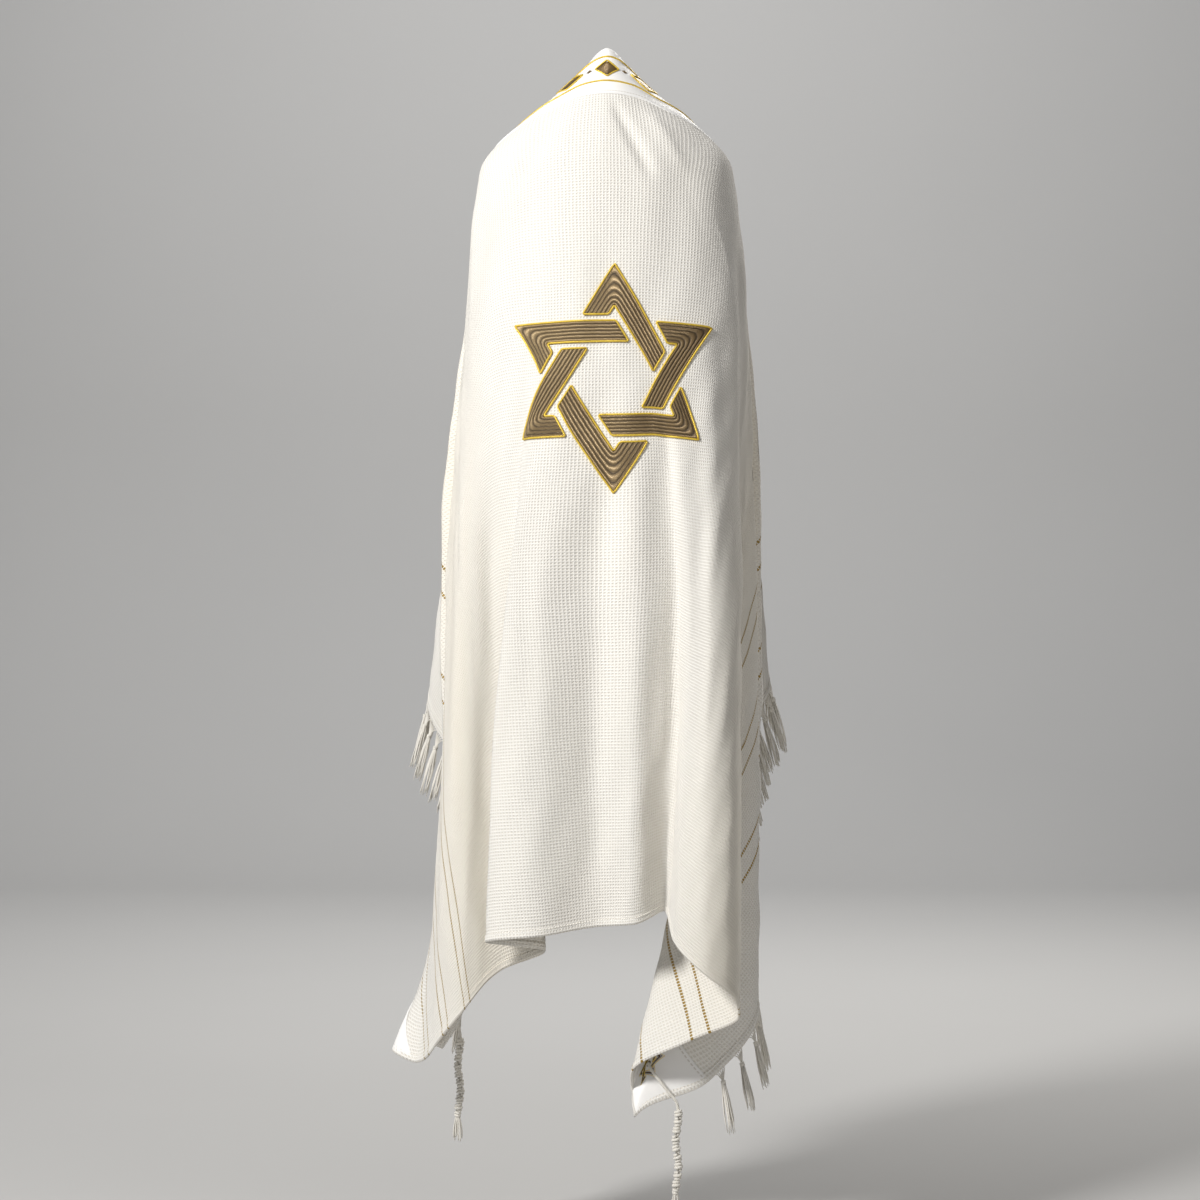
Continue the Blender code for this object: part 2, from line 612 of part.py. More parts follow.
def make_corner_tassel(name, wall, side, at_hem, material, collection):
    """A knotted cord with loose locks at its end."""
    path = cord_path(wall, side, at_hem)
    bm = bmesh.new()
    last, last_across = None, None
    for index, (point, radius) in enumerate(zip(path, cord_radii(path))):
        heading = (path[min(index + 1, len(path) - 1)] - path[max(index - 1, 0)]).normalized()
        across = heading.cross(Vector((0.0, 1.0, 0.0)))
        if across.length < BLIND_ANGLE:
            across = heading.cross(Vector((1.0, 0.0, 0.0)))
        across.normalize()
        if last_across is not None and across.dot(last_across) < 0:
            across = -across
        deep = heading.cross(across).normalized()
        ring = []
        for k in range(CORD_SIDES):
            turn = 2 * math.pi * k / CORD_SIDES
            offset = across * math.cos(turn) + deep * math.sin(turn)
            ring.append(bm.verts.new(point + offset * radius))
        if last is None:
            bm.faces.new(ring)
        else:
            bridge(bm, last, ring)
        last, last_across = ring, across
    middle = bm.verts.new(path[-1])
    sides_a_lock = CORD_SIDES // LOOSE_LOCKS
    for lock in range(LOOSE_LOCKS):
        first = sides_a_lock * lock
        arc = [last[(first + k) % CORD_SIDES] for k in range(sides_a_lock + 1)]
        grow_loose_lock(bm, [middle] + arc)
    bmesh.ops.recalc_face_normals(bm, faces=bm.faces[:])
    obj = new_object(name, bm, material, collection)
    obj.data.shade_smooth()
    return obj


def grow_loose_lock(bm, root):
    """Draw one share of the cord's end down and outwards. The root starts at its middle."""
    hub = root[0].co
    root_centre = sum((vert.co for vert in root), Vector()) / len(root)
    upper = root
    for drop, spread, size in LOOSE_SECTIONS:
        centre = hub + (root_centre - hub) * spread - Vector((0.0, 0.0, drop))
        lower = [bm.verts.new(centre + (vert.co - root_centre) * size) for vert in root]
        bridge(bm, upper, lower)
        upper = lower
    bm.faces.new(upper)


def make_material(name, colour, roughness, metallic=0.0):
    material = bpy.data.materials.new(name)
    material.use_nodes = True
    shader = material.node_tree.nodes["Principled BSDF"]
    shader.inputs["Base Color"].default_value = (*colour, 1.0)
    shader.inputs["Roughness"].default_value = roughness
    shader.inputs["Metallic"].default_value = metallic
    return material


def main():
    for obj in list(bpy.data.objects):
        bpy.data.objects.remove(obj, do_unlink=True)
    collection = bpy.data.collections.new("tallit_prayer_shawl")
    bpy.context.scene.collection.children.link(collection)
    woven = make_material("woven_wool", (0.86, 0.84, 0.79), 0.85)
    satin = make_material("satin_facing", (0.88, 0.87, 0.84), 0.45)
    gold = make_material("gold_embroidery", (0.34, 0.24, 0.09), 0.35, 0.5)
    yarn = make_material("fringe_yarn", (0.85, 0.83, 0.79), 0.80)
    wall = Wall()
    make_cloth(wall, woven, collection)
    make_neckband(wall, satin, collection)
    make_patches(wall, satin, collection)
    make_star(wall, gold, collection)
    make_fringe("fringe_left", wall, -1, yarn, collection)
    make_fringe("fringe_right", wall, 1, yarn, collection)
    for name, side, at_hem in corner_signs():
        make_corner_tassel("tzitzit_" + name, wall, side, at_hem, yarn, collection)


main()
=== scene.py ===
"""Looks of the worn prayer shawl (tallit): fine cloth, satin, gold embroidery, fringe and
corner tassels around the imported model, with a plain studio.

Every point of the cloth has a flat place (across, down) on the cut rectangle, in metres:
across from the middle of the back, down from the neck edge.  Straight rays on the cut run
from the neck to the edge, and each ray becomes one hanging line of the worn form.
Metres, +Z up, -Y the wearer's back.  The fold table is the one the model is built from.
"""

import math
import random
from collections import namedtuple

import bmesh
import bpy
import numpy as np
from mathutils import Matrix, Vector

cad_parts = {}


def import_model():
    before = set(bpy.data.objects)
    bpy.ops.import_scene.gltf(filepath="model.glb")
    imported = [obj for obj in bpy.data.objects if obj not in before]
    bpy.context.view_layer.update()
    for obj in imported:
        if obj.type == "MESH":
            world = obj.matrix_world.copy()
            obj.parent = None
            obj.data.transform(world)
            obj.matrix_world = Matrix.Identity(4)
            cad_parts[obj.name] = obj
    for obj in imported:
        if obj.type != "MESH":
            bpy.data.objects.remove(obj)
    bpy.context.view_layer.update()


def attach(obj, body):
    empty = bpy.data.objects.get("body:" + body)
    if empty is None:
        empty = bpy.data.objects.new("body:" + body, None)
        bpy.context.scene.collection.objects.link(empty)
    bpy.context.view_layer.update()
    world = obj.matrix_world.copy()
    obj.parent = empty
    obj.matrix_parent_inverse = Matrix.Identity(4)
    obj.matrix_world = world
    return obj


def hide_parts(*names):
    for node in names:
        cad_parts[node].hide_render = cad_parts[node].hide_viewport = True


# ---- the cut; the way round its edge is measured from the middle of the hem ----
HALF_WIDTH = 0.90          # from the middle of the back to an end
LENGTH = 1.30              # from the neck edge down to the hem
NECK_HALF = 0.12           # half of the neck edge that the rays start on
EDGE_END = HALF_WIDTH + LENGTH
NECK_PACE = NECK_HALF / EDGE_END

# ---- the worn form ----
NECK_X = 0.070             # half width of the neck line
NECK_BACK_Y = -0.040       # its place at the back
NECK_DEPTH = 0.190         # reach of its ends forward of that, before they bend back
NECK_BEND = 0.35           # share of the reach that bends back
NECK_FALL = 0.030          # how much lower its ends lie
PEAK_Z = 0.075             # its height at the back
PEAK_ROUND = 0.012         # how softly it peaks there
PEAK_SLOPE = 1.25          # fall beside the peak
SHOULDER_LOSS = 0.045      # length that each line spends in crossing the shoulder
SHOULDER_REACH = 0.10      # how soon it is spent
BACK_FLAT = 0.35           # way round the edge within which the rows of the back hang level
BACK_FADE = 0.35           # and over which that ends
# turns: degrees round the body, at each way round the edge in TURN_AT
Ring = namedtuple("Ring", "z half_width half_depth turns")
TURN_AT = (0.0, 0.15, 0.30, 0.60, 1.25, EDGE_END)
SHOULDER = Ring(-0.10, 0.184, 0.105, (0, 11, 23, 46, 92, 150))
CHEST = Ring(-0.35, 0.207, 0.125, (0, 16, 34.5, 67, 100, 150))
HIP = Ring(-0.75, 0.225, 0.145, (0, 19, 40, 68, 102, 150))
CHEST_FOLD_SHARE = 0.12    # share of the hip's folds that shows at the chest
HEM_Z, FOOT_Z = -1.20, -1.40

Fold = namedtuple("Fold", "edge hip hem foot rise")


def fold(edge, hip, hem, foot=None, rise=0.0):
    """A hanging line's plan places at three heights; its foot is under its hem if not given."""
    return Fold(edge, hip, hem, foot or hem, rise)


FOLDS = (
    fold(-2.2, (-0.078, 0.15), (-0.078, 0.15)),
    fold(-2.07, (-0.112, 0.19), (-0.112, 0.19)),
    fold(-1.96, (-0.16, 0.145), (-0.16, 0.15)),
    fold(-1.86, (-0.246, 0.15), (-0.278, 0.158), (-0.284, 0.158), rise=-0.01),
    fold(-1.77, (-0.254, 0.122), (-0.29, 0.126), (-0.3, 0.126), rise=-0.01),
    fold(-1.5, (-0.204, 0.066), (-0.2, 0.09)),
    fold(-1.25, (-0.218, 0.03), (-0.222, 0.07), rise=0.01),
    fold(-1.005, (-0.232, -0.012), (-0.226, 0.02), (-0.198, 0.034), rise=0.06),
    fold(-0.9, (-0.23, -0.03), (-0.243, -0.004), (-0.24, 0.016), rise=0.085),
    fold(-0.83, (-0.227, -0.045), (-0.253, -0.022), (-0.322, -0.018), rise=0.05),
    fold(-0.79, (-0.225, -0.054), (-0.253, -0.04), (-0.276, -0.046), rise=0.016),
    fold(-0.7, (-0.218, -0.078), (-0.243, -0.08), (-0.248, -0.086)),
    fold(-0.54, (-0.19, -0.11), (-0.198, -0.128), (-0.192, -0.138)),
    fold(-0.4, (-0.156, -0.116), (-0.15, -0.12), (-0.156, -0.12)),
    fold(-0.3, (-0.126, -0.122), (-0.088, -0.108), (-0.086, -0.108)),
    fold(-0.252, (-0.132, -0.139), (-0.132, -0.132)),
    fold(-0.2, (-0.144, -0.156), (-0.17, -0.162), (-0.172, -0.162)),
    fold(-0.11, (-0.096, -0.168), (-0.1, -0.19)),
    fold(-0.02, (-0.022, -0.154), (-0.016, -0.16), rise=0.006),
    fold(0.05, (0.036, -0.163), (0.038, -0.174), rise=0.012),
    fold(0.13, (0.09, -0.146), (0.081, -0.136), rise=0.032),
    fold(0.23, (0.118, -0.172), (0.092, -0.205), (0.09, -0.205), rise=0.012),
    fold(0.37, (0.152, -0.18), (0.138, -0.245), (0.134, -0.24)),
    fold(0.49, (0.18, -0.156), (0.18, -0.216), (0.174, -0.214)),
    fold(0.57, (0.189, -0.126), (0.187, -0.166), (0.182, -0.184)),
    fold(0.66, (0.176, -0.098), (0.14, -0.116), (0.104, -0.158)),
    fold(0.76, (0.172, -0.074), (0.082, -0.074), (0.032, -0.122)),
    fold(0.83, (0.184, -0.056), (0.106, -0.042), (0.042, -0.088)),
    fold(0.9, (0.194, -0.044), (0.134, -0.034), (0.058, -0.098), rise=0.008),
    fold(1.005, (0.207, -0.024), (0.182, -0.026), (0.148, -0.08), rise=-0.03),
    fold(1.12, (0.219, 0.002), (0.222, 0.006), (0.216, -0.02), rise=-0.036),
    fold(1.42, (0.194, 0.058), (0.196, 0.06), rise=-0.01),
    fold(1.69, (0.214, 0.104), (0.222, 0.108), rise=-0.004),
    fold(1.8, (0.236, 0.124), (0.262, 0.128), (0.27, 0.128)),
    fold(1.885, (0.226, 0.15), (0.25, 0.156), (0.256, 0.156)),
    fold(1.97, (0.158, 0.146), (0.158, 0.15)),
    fold(2.08, (0.112, 0.19), (0.112, 0.19)),
    fold(2.2, (0.08, 0.148), (0.08, 0.148)),
)

# ---- pleats: runs of lines that stand out (+) or in (-), from a share of the ray on ----
Pleat = namedtuple("Pleat", "edge swing")
PleatRun = namedtuple("PleatRun", "starts lines")
PLEAT_RUNS = (
    PleatRun(0.4, (
        Pleat(-2.2, 0.0), Pleat(-2.15, 0.01), Pleat(-2.1, -0.012),
        Pleat(-2.05, 0.014), Pleat(-2.0, -0.012), Pleat(-1.95, 0.012),
        Pleat(-1.905, -0.008), Pleat(-1.86, 0.0))),
    PleatRun(0.25, (
        Pleat(-1.77, 0.0), Pleat(-1.71, -0.015), Pleat(-1.645, 0.017),
        Pleat(-1.585, -0.018), Pleat(-1.52, 0.02), Pleat(-1.46, -0.019),
        Pleat(-1.395, 0.019), Pleat(-1.335, -0.021), Pleat(-1.27, 0.02),
        Pleat(-1.205, -0.019), Pleat(-1.14, 0.017), Pleat(-1.07, -0.012),
        Pleat(-1.005, 0.0))),
    PleatRun(0.25, (
        Pleat(1.12, 0.0), Pleat(1.185, -0.015), Pleat(1.25, 0.018),
        Pleat(1.315, -0.02), Pleat(1.375, 0.021), Pleat(1.44, -0.02),
        Pleat(1.5, 0.019), Pleat(1.565, -0.02), Pleat(1.63, 0.019),
        Pleat(1.695, -0.016), Pleat(1.75, 0.01), Pleat(1.8, 0.0))),
    PleatRun(0.4, (
        Pleat(1.885, 0.0), Pleat(1.935, -0.01), Pleat(1.985, 0.012),
        Pleat(2.035, -0.014), Pleat(2.09, 0.014), Pleat(2.145, -0.012),
        Pleat(2.2, 0.0))),
)
PLEAT_FORMS = 0.22         # share of a ray over which they form
PLEAT_OPENS = 0.32         # share of a ray, up from the edge, over which they open out again

# ---- creases laid on the folds: soft troughs (negative) and ridges (positive) ----
# start and end are flat places (across, down), wide is the half width, deep the height
Crease = namedtuple("Crease", "start end wide deep")
CREASES = (
    Crease((0.004, 0.58), (-0.024, 1.3), 0.017, -0.0055),
    Crease((0.038, 0.6), (0.052, 1.32), 0.015, 0.0045),
    Crease((0.078, 0.5), (0.112, 1.12), 0.012, -0.0065),
    Crease((0.096, 0.86), (0.17, 1.33), 0.013, -0.006),
    Crease((0.14, 0.42), (0.29, 1.16), 0.024, 0.005),
    Crease((-0.205, 0.6), (-0.45, 1.27), 0.034, -0.007),
    Crease((-0.3, 0.54), (-0.54, 1.14), 0.03, 0.005),
    Crease((-0.15, 0.6), (-0.168, 1.24), 0.018, 0.0022),
    Crease((-0.09, 0.76), (-0.096, 1.18), 0.012, -0.0018),
    Crease((0.006, 0.104), (0.06, 0.24), 0.008, -0.0042),
    Crease((0.05, 0.108), (0.1, 0.22), 0.011, 0.002),
    Crease((-0.06, 0.112), (-0.12, 0.24), 0.014, -0.0016),
    Crease((-0.2, 0.15), (-0.235, 0.42), 0.018, 0.0022),
    Crease((0.21, 0.14), (0.24, 0.48), 0.016, -0.0026),
    Crease((0.3, 0.3), (0.35, 0.98), 0.018, 0.003),
    Crease((0.42, 0.35), (0.5, 1.12), 0.016, -0.0026),
    Crease((-0.33, 0.32), (-0.42, 1.08), 0.018, -0.0026),
    Crease((-0.45, 0.34), (-0.59, 1.15), 0.02, 0.003),
    Crease((-0.6, 0.38), (-0.76, 0.98), 0.018, -0.003),
    Crease((0.6, 0.38), (0.74, 0.94), 0.02, 0.003),
    Crease((-0.64, 0.22), (-0.84, 0.64), 0.016, 0.0026),
    Crease((0.64, 0.22), (0.84, 0.62), 0.016, -0.0026),
    Crease((-0.5, 0.12), (-0.8, 0.3), 0.014, -0.0024),
    Crease((0.48, 0.11), (0.78, 0.28), 0.014, 0.0024),
    Crease((-0.42, 0.05), (-0.72, 0.11), 0.012, 0.002),
    Crease((0.4, 0.06), (0.7, 0.12), 0.012, -0.002),
)
RIPPLE = 0.0010            # height of the small unevenness of hanging cloth
CREASE_FADE = 0.25         # share of a crease over which each of its ends fades
EVEN_NEAR_EDGE = 0.03      # creases fade out this near the cloth's edge

# ---- cloth mesh ----
COLUMN_STEP = 0.0125       # about how far apart the columns of the mesh are, round the edge
ROWS = 128
ROW_POWER = 1.12           # rows are a little closer near the neck
CLOTH_THICK = 0.0012
HEM_STEP = 0.006
HEM_START = 0.001          # from the corner
HEM_SECTION = (
    # inwards from the edge and out of the face; the dip is the line of stitches
    (0.0098, 0.0001), (0.0092, 0.0013), (0.0080, 0.0014), (0.0070, 0.0005), (0.0060, 0.0014),
    (0.0024, 0.0015), (0.0002, 0.0011), (-0.0009, 0.0), (-0.0009, -0.0012), (0.0002, -0.0022),
    (0.0060, -0.0024), (0.0098, -0.0016),
)

# ---- sewn-on pieces, in flat places ----
Facing = namedtuple("Facing", "step rim thick")
BAND_HALF_LENGTH = 0.43
BAND_WIDTH = 0.098
BAND_FACING = Facing(0.006, 0.004, 0.0016)
PATCH_SIDE = 0.105
PATCH_FACING = Facing(0.004, 0.003, 0.0012)
FACING_LIFT = 0.0002       # of a facing's rim over the cloth
FACING_UNDER = -0.0004     # of its underside, in the cloth
SEAM_INSET = 0.005
HOLE_INSET = 0.053
EYELET_RADIUS, EYELET_LIFT, EYELET_THREAD = 0.0034, 0.0020, 0.0010

StarCut = namedtuple("StarCut", "radius bar gap rows thick cord turn")
STAR_ACROSS, STAR_DOWN = 0.010, 0.524
BACK_STAR = StarCut(0.164, 0.030, 0.009, 6, 0.0020, 0.0015, 0.0)
PATCH_STAR = StarCut(0.030, 0.0056, 0.0012, 3, 0.0020, 0.0008, math.radians(30))
SAMPLES_A_ROW = 6          # of the mesh across each row of stitches
ROW_BEND = 0.75            # how far from the corner a middle row starts to turn, in bar widths
STITCH_LIFT, STITCH_UNDER = 0.0003, -0.0005
STITCH_RIM = 0.002         # over which a bar rises from its edge

LOZENGE_PITCH = 0.062
LOZENGE_LONG, LOZENGE_HIGH = 0.021, 0.017
SMALL_LOZENGE = 0.27       # of the large one
LOZENGE_GRID = 7
LOZENGE_UNDER, LOZENGE_LIFT, LOZENGE_CROWN = 0.0010, 0.0017, 0.0011
LOZENGE_CORD, LOZENGE_CORD_LIFT = 0.0012, 0.0024
BAND_CORDS = (0.24, 0.76)  # where the two cords lie across the band
BAND_CORD, BAND_CORD_LIFT, BAND_CORD_INSET, BAND_CORD_POINTS = 0.0013, 0.0022, 0.02, 240

# ---- fringe ----
TASSELS_PER_END = 34
PATCH_CLEARANCE = 0.0003
EDGE_PROBE = 0.008         # reach by which the way off the cloth is found
LEAN_PROBE = 0.060         # and the way along its end
TASSEL_LEAN = 0.32         # how far a tassel hangs off along the cloth, where its end is steep
TASSEL_STAND = 0.16        # and out of its face
STEEP = 0.3                # an end with less of a level run than this counts as upright
GATHERS = (-0.010, -0.005, 0.0, 0.005, 0.010)   # where a tassel's yarns leave the end
GATHER_RADII = (0.0007, 0.0009, 0.0009, 0.0009)
KNOT_OUT, KNOT_DROP, KNOT_RADIUS = 0.006, 0.013, 0.0036
SKIRT_LENGTH, SKIRT_STRANDS, SKIRT_SPREAD = 0.066, 13, 0.0038
SKIRT_RADII = (0.0008, 0.0009, 0.0009, 0.0009, 0.0008, 0.0005)

KNOT_TURNS, KNOT_POINTS = 2.2, 25
KNOT_WAIST, KNOT_SWELL, KNOT_HIGH, KNOT_THREAD = 0.55, 0.2, 1.7, 0.42   # of its radius
FRINGE_SEED, CORD_SEED = 11, 31

# ---- corner tassels ----
CORD_UNDER, CORD_ON_HOLE, CORD_ON_PATCH = -0.001, 0.0052, 0.0091   # out of the cloth's face
CORD_PASSES = (0.35, 0.70, 1.0)                 # shares of the way from the hole to the end
EDGE_CLEARANCE = 0.010
CORD_DROP = 0.128
CORD_SWAY = 0.0022
CORD_STEP = 0.0016         # between its points
CORD_BARE = 0.30, 0.22     # shares without knots: to the edge, and of what hangs
PLIES, PLY_OUT, PLY_RADIUS, PLY_TURN = 4, 0.0014, 0.0011, 0.85
KNOTS_A_CORD = 9
CORD_KNOT, END_KNOT = 0.0058, 0.0048
LOOSE_ENDS, LOOSE_DROP = 8, 0.040
LOOSE_RADII = (0.0011,) * 6 + (0.0007,)


# ---- the worn form, worked out for many points at once ----

def unit(vectors):
    """Vectors brought to a length of one, along their last axis."""
    return vectors / np.maximum(np.linalg.norm(vectors, axis=-1, keepdims=True), 1e-12)


def tangents_of(knots, values):
    """Slopes at the knots of a monotone cubic. Knots lie on axis 1, values on 1 and 2."""
    steps = np.diff(knots, axis=1)[:, :, None]
    slopes = np.diff(values, axis=1) / steps
    before, after = slopes[:, :-1], slopes[:, 1:]
    w_before = 2 * steps[:, 1:] + steps[:, :-1]
    w_after = steps[:, 1:] + 2 * steps[:, :-1]
    same_way = before * after > 0
    safe_before = np.where(same_way, before, 1.0)
    safe_after = np.where(same_way, after, 1.0)
    mean = (w_before + w_after) / (w_before / safe_before + w_after / safe_after)
    inner = np.where(same_way, mean, 0.0)
    return np.concatenate((slopes[:, :1], inner, slopes[:, -1:]), axis=1)


def smooth(knots, values, at):
    """Monotone cubic through each row's knots, read at one place for each row."""
    tangents = tangents_of(knots, values)
    count = knots.shape[1]
    if knots.shape[0] == 1:
        cell = np.clip(np.searchsorted(knots[0], at) - 1, 0, count - 2)
        row = np.zeros(len(at), int)
    else:
        cell = np.clip((knots < at[:, None]).sum(axis=1) - 1, 0, count - 2)
        row = np.arange(len(at))
    low, high = knots[row, cell], knots[row, cell + 1]
    step = (high - low)[:, None]
    s = ((at - low)[:, None]) / step
    inside = ((1 + 2 * s) * (1 - s) ** 2 * values[row, cell]
              + s * (1 - s) ** 2 * step * tangents[row, cell]
              + s * s * (3 - 2 * s) * values[row, cell + 1]
              + s * s * (s - 1) * step * tangents[row, cell + 1])
    beyond = values[row, -1] + tangents[row, -1] * (at - knots[row, -1])[:, None]
    return np.where(s > 1.0, beyond, inside)


def along_folds(column, edge):
    """A column of the fold table, read smoothly at each way round the edge."""
    knots = np.array([[fold.edge for fold in FOLDS]])
    values = np.array([getattr(fold, column) for fold in FOLDS], float)
    return smooth(knots, values.reshape(1, len(FOLDS), -1), edge)


def ring_turns(ring, edge):
    """How far round the body the ways round the edge lie on a ring, in radians."""
    turns = np.array(ring.turns, float).reshape(1, -1, 1)
    return np.radians(smooth(np.array([TURN_AT]), turns, np.abs(edge))[:, 0])


def ring_place(ring, edge):
    """Plan places on a ring."""
    turns = ring_turns(ring, edge)
    x = np.sign(edge) * ring.half_width * np.sin(turns)
    return np.stack((x, -ring.half_depth * np.cos(turns)), axis=1)


def ray_of(across, down):
    """Way round the edge and share of the ray that pass through a flat place."""
    side = np.where(across < 0, -1.0, 1.0)
    a = np.abs(across)
    share = down / LENGTH
    edge = a / (NECK_PACE * (1 - share) + share + 1e-12)
    b = a + NECK_PACE * EDGE_END - NECK_PACE * down
    root = np.sqrt(np.maximum(b * b - 4 * NECK_PACE * (a * EDGE_END - HALF_WIDTH * down), 0))
    end_edge = np.minimum((b - root) / (2 * NECK_PACE), EDGE_END - 1e-9)
    at_end = edge > HALF_WIDTH
    end_share = np.where(a > NECK_PACE * end_edge + 1e-9,
                         (a - NECK_PACE * end_edge) / (HALF_WIDTH - NECK_PACE * end_edge),
                         down / (EDGE_END - end_edge))
    return side * np.where(at_end, end_edge, edge), np.where(at_end, end_share, share)


def edge_place(e):
    """Flat place of a way round the right half of the edge."""
    return np.minimum(e, HALF_WIDTH), LENGTH - np.maximum(e - HALF_WIDTH, 0)


def flat_of(edge, share):
    """Flat place of a share of a ray."""
    side = np.where(edge < 0, -1.0, 1.0)
    e = np.abs(edge)
    end_across, end_down = edge_place(e)
    start = NECK_PACE * e
    return side * (start + share * (end_across - start)), share * end_down


def ease(share):
    """A share from 0 to 1 that starts and stops softly."""
    share = np.clip(share, 0.0, 1.0)
    return share * share * (3 - 2 * share)


def pleat_stand(edge, share):
    """Plan vectors by which the pleats carry shares of rays in or out."""
    turns = ring_turns(HIP, edge)
    outward = np.stack((np.copysign(np.sin(turns), edge), -np.cos(turns)), axis=1)
    stand = np.zeros(len(edge))
    for run in PLEAT_RUNS:
        knots = np.array([[pleat.edge for pleat in run.lines]])
        swings = np.array([pleat.swing for pleat in run.lines]).reshape(1, -1, 1)
        inside = (edge > knots[0, 0]) & (edge < knots[0, -1])
        formed = ease((share - run.starts) / PLEAT_FORMS) * ease((1 - share) / PLEAT_OPENS)
        stand += np.where(inside, smooth(knots, swings, edge)[:, 0] * formed, 0.0)
    return outward * stand[:, None]


def hang(edge, share):
    """Worn points of shares of rays, before the creases are laid on."""
    e = np.abs(edge)
    end_across, end_down = edge_place(e)
    length = np.hypot(end_across - NECK_PACE * e, end_down)
    along = share * length
    fall = along - SHOULDER_LOSS * (1 - np.exp(-along / SHOULDER_REACH))
    rise = along_folds("rise", edge)[:, 0]
    neck_share = edge / EDGE_END
    neck_x = NECK_X * neck_share
    neck_y = NECK_BACK_Y + NECK_DEPTH * (neck_share ** 2 - NECK_BEND * neck_share ** 4)
    neck_z = (PEAK_Z - PEAK_SLOPE * (np.hypot(neck_x, PEAK_ROUND) - PEAK_ROUND)
              - NECK_FALL * neck_share ** 4)
    slack = (length - end_down) * ease((BACK_FLAT + BACK_FADE - e) / BACK_FADE)
    z = neck_z - fall + slack * share * (1 - share ** 3) + rise * share ** 3
    hip = along_folds("hip", edge)
    chest = ring_place(CHEST, edge) + CHEST_FOLD_SHARE * (hip - ring_place(HIP, edge))
    places = np.stack((np.stack((neck_x, neck_y), axis=1), ring_place(SHOULDER, edge), chest,
                       hip, along_folds("hem", edge), along_folds("foot", edge)), axis=1)
    level = np.ones_like(edge)
    drops = np.stack((-neck_z, -SHOULDER.z * level, -CHEST.z * level, -HIP.z * level,
                      -HEM_Z * level, -FOOT_Z * level), axis=1)
    plan = smooth(drops, places, -z) + pleat_stand(edge, share)
    return np.column_stack((plan, z))


def crease_height(across, down):
    """How far the creases and the small unevenness move a flat place along its normal."""
    place = np.stack((across, down), axis=1)
    height = np.zeros(len(across))
    for crease in CREASES:
        start, end = np.array(crease.start), np.array(crease.end)
        run = end - start
        t = (place - start) @ run / (run @ run)
        away = np.abs((place - start) @ np.array((run[1], -run[0]))) / np.linalg.norm(run)
        fade = ease(np.minimum(t, 1 - t) / CREASE_FADE)
        height += crease.deep * fade * np.exp(-(away / crease.wide) ** 2)
    height += RIPPLE * (np.sin(across * 61 + 3 * np.sin(down * 7))
                        * np.sin(down * 13 + 2 * np.sin(across * 9))
                        + 0.5 * np.sin(across * 97 + down * 31 + 2 * np.sin(down * 11)))
    to_edge = np.minimum(HALF_WIDTH - np.abs(across), np.minimum(down, LENGTH - down))
    return height * np.clip(to_edge / EVEN_NEAR_EDGE, 0, 1)


def hang_flat(across, down):
    """Worn points of flat places, before the creases are laid on."""
    return hang(*ray_of(across, down))


def face_normals(across, down, probe=0.002):
    """Outward normals of the worn cloth at flat places."""
    left = np.maximum(across - probe, -HALF_WIDTH)
    right = np.minimum(across + probe, HALF_WIDTH)
    above = np.maximum(down - probe, 0)
    below = np.minimum(down + probe, LENGTH)
    over = hang_flat(right, down) - hang_flat(left, down)
    fall = hang_flat(across, below) - hang_flat(across, above)
    return unit(np.cross(fall, over))


def face_lay(across, down):
    """Worn points and normals at flat places, creases included."""
    across, down = np.asarray(across, float), np.asarray(down, float)
    normal = face_normals(across, down)
    return hang_flat(across, down) + normal * crease_height(across, down)[:, None], normal


def worn_point(across, down, lift=0.0):
    """One worn point, moved out of the face by lift."""
    base, normal = face_lay([across], [down])
    return base[0] + normal[0] * lift


# ---- materials ----

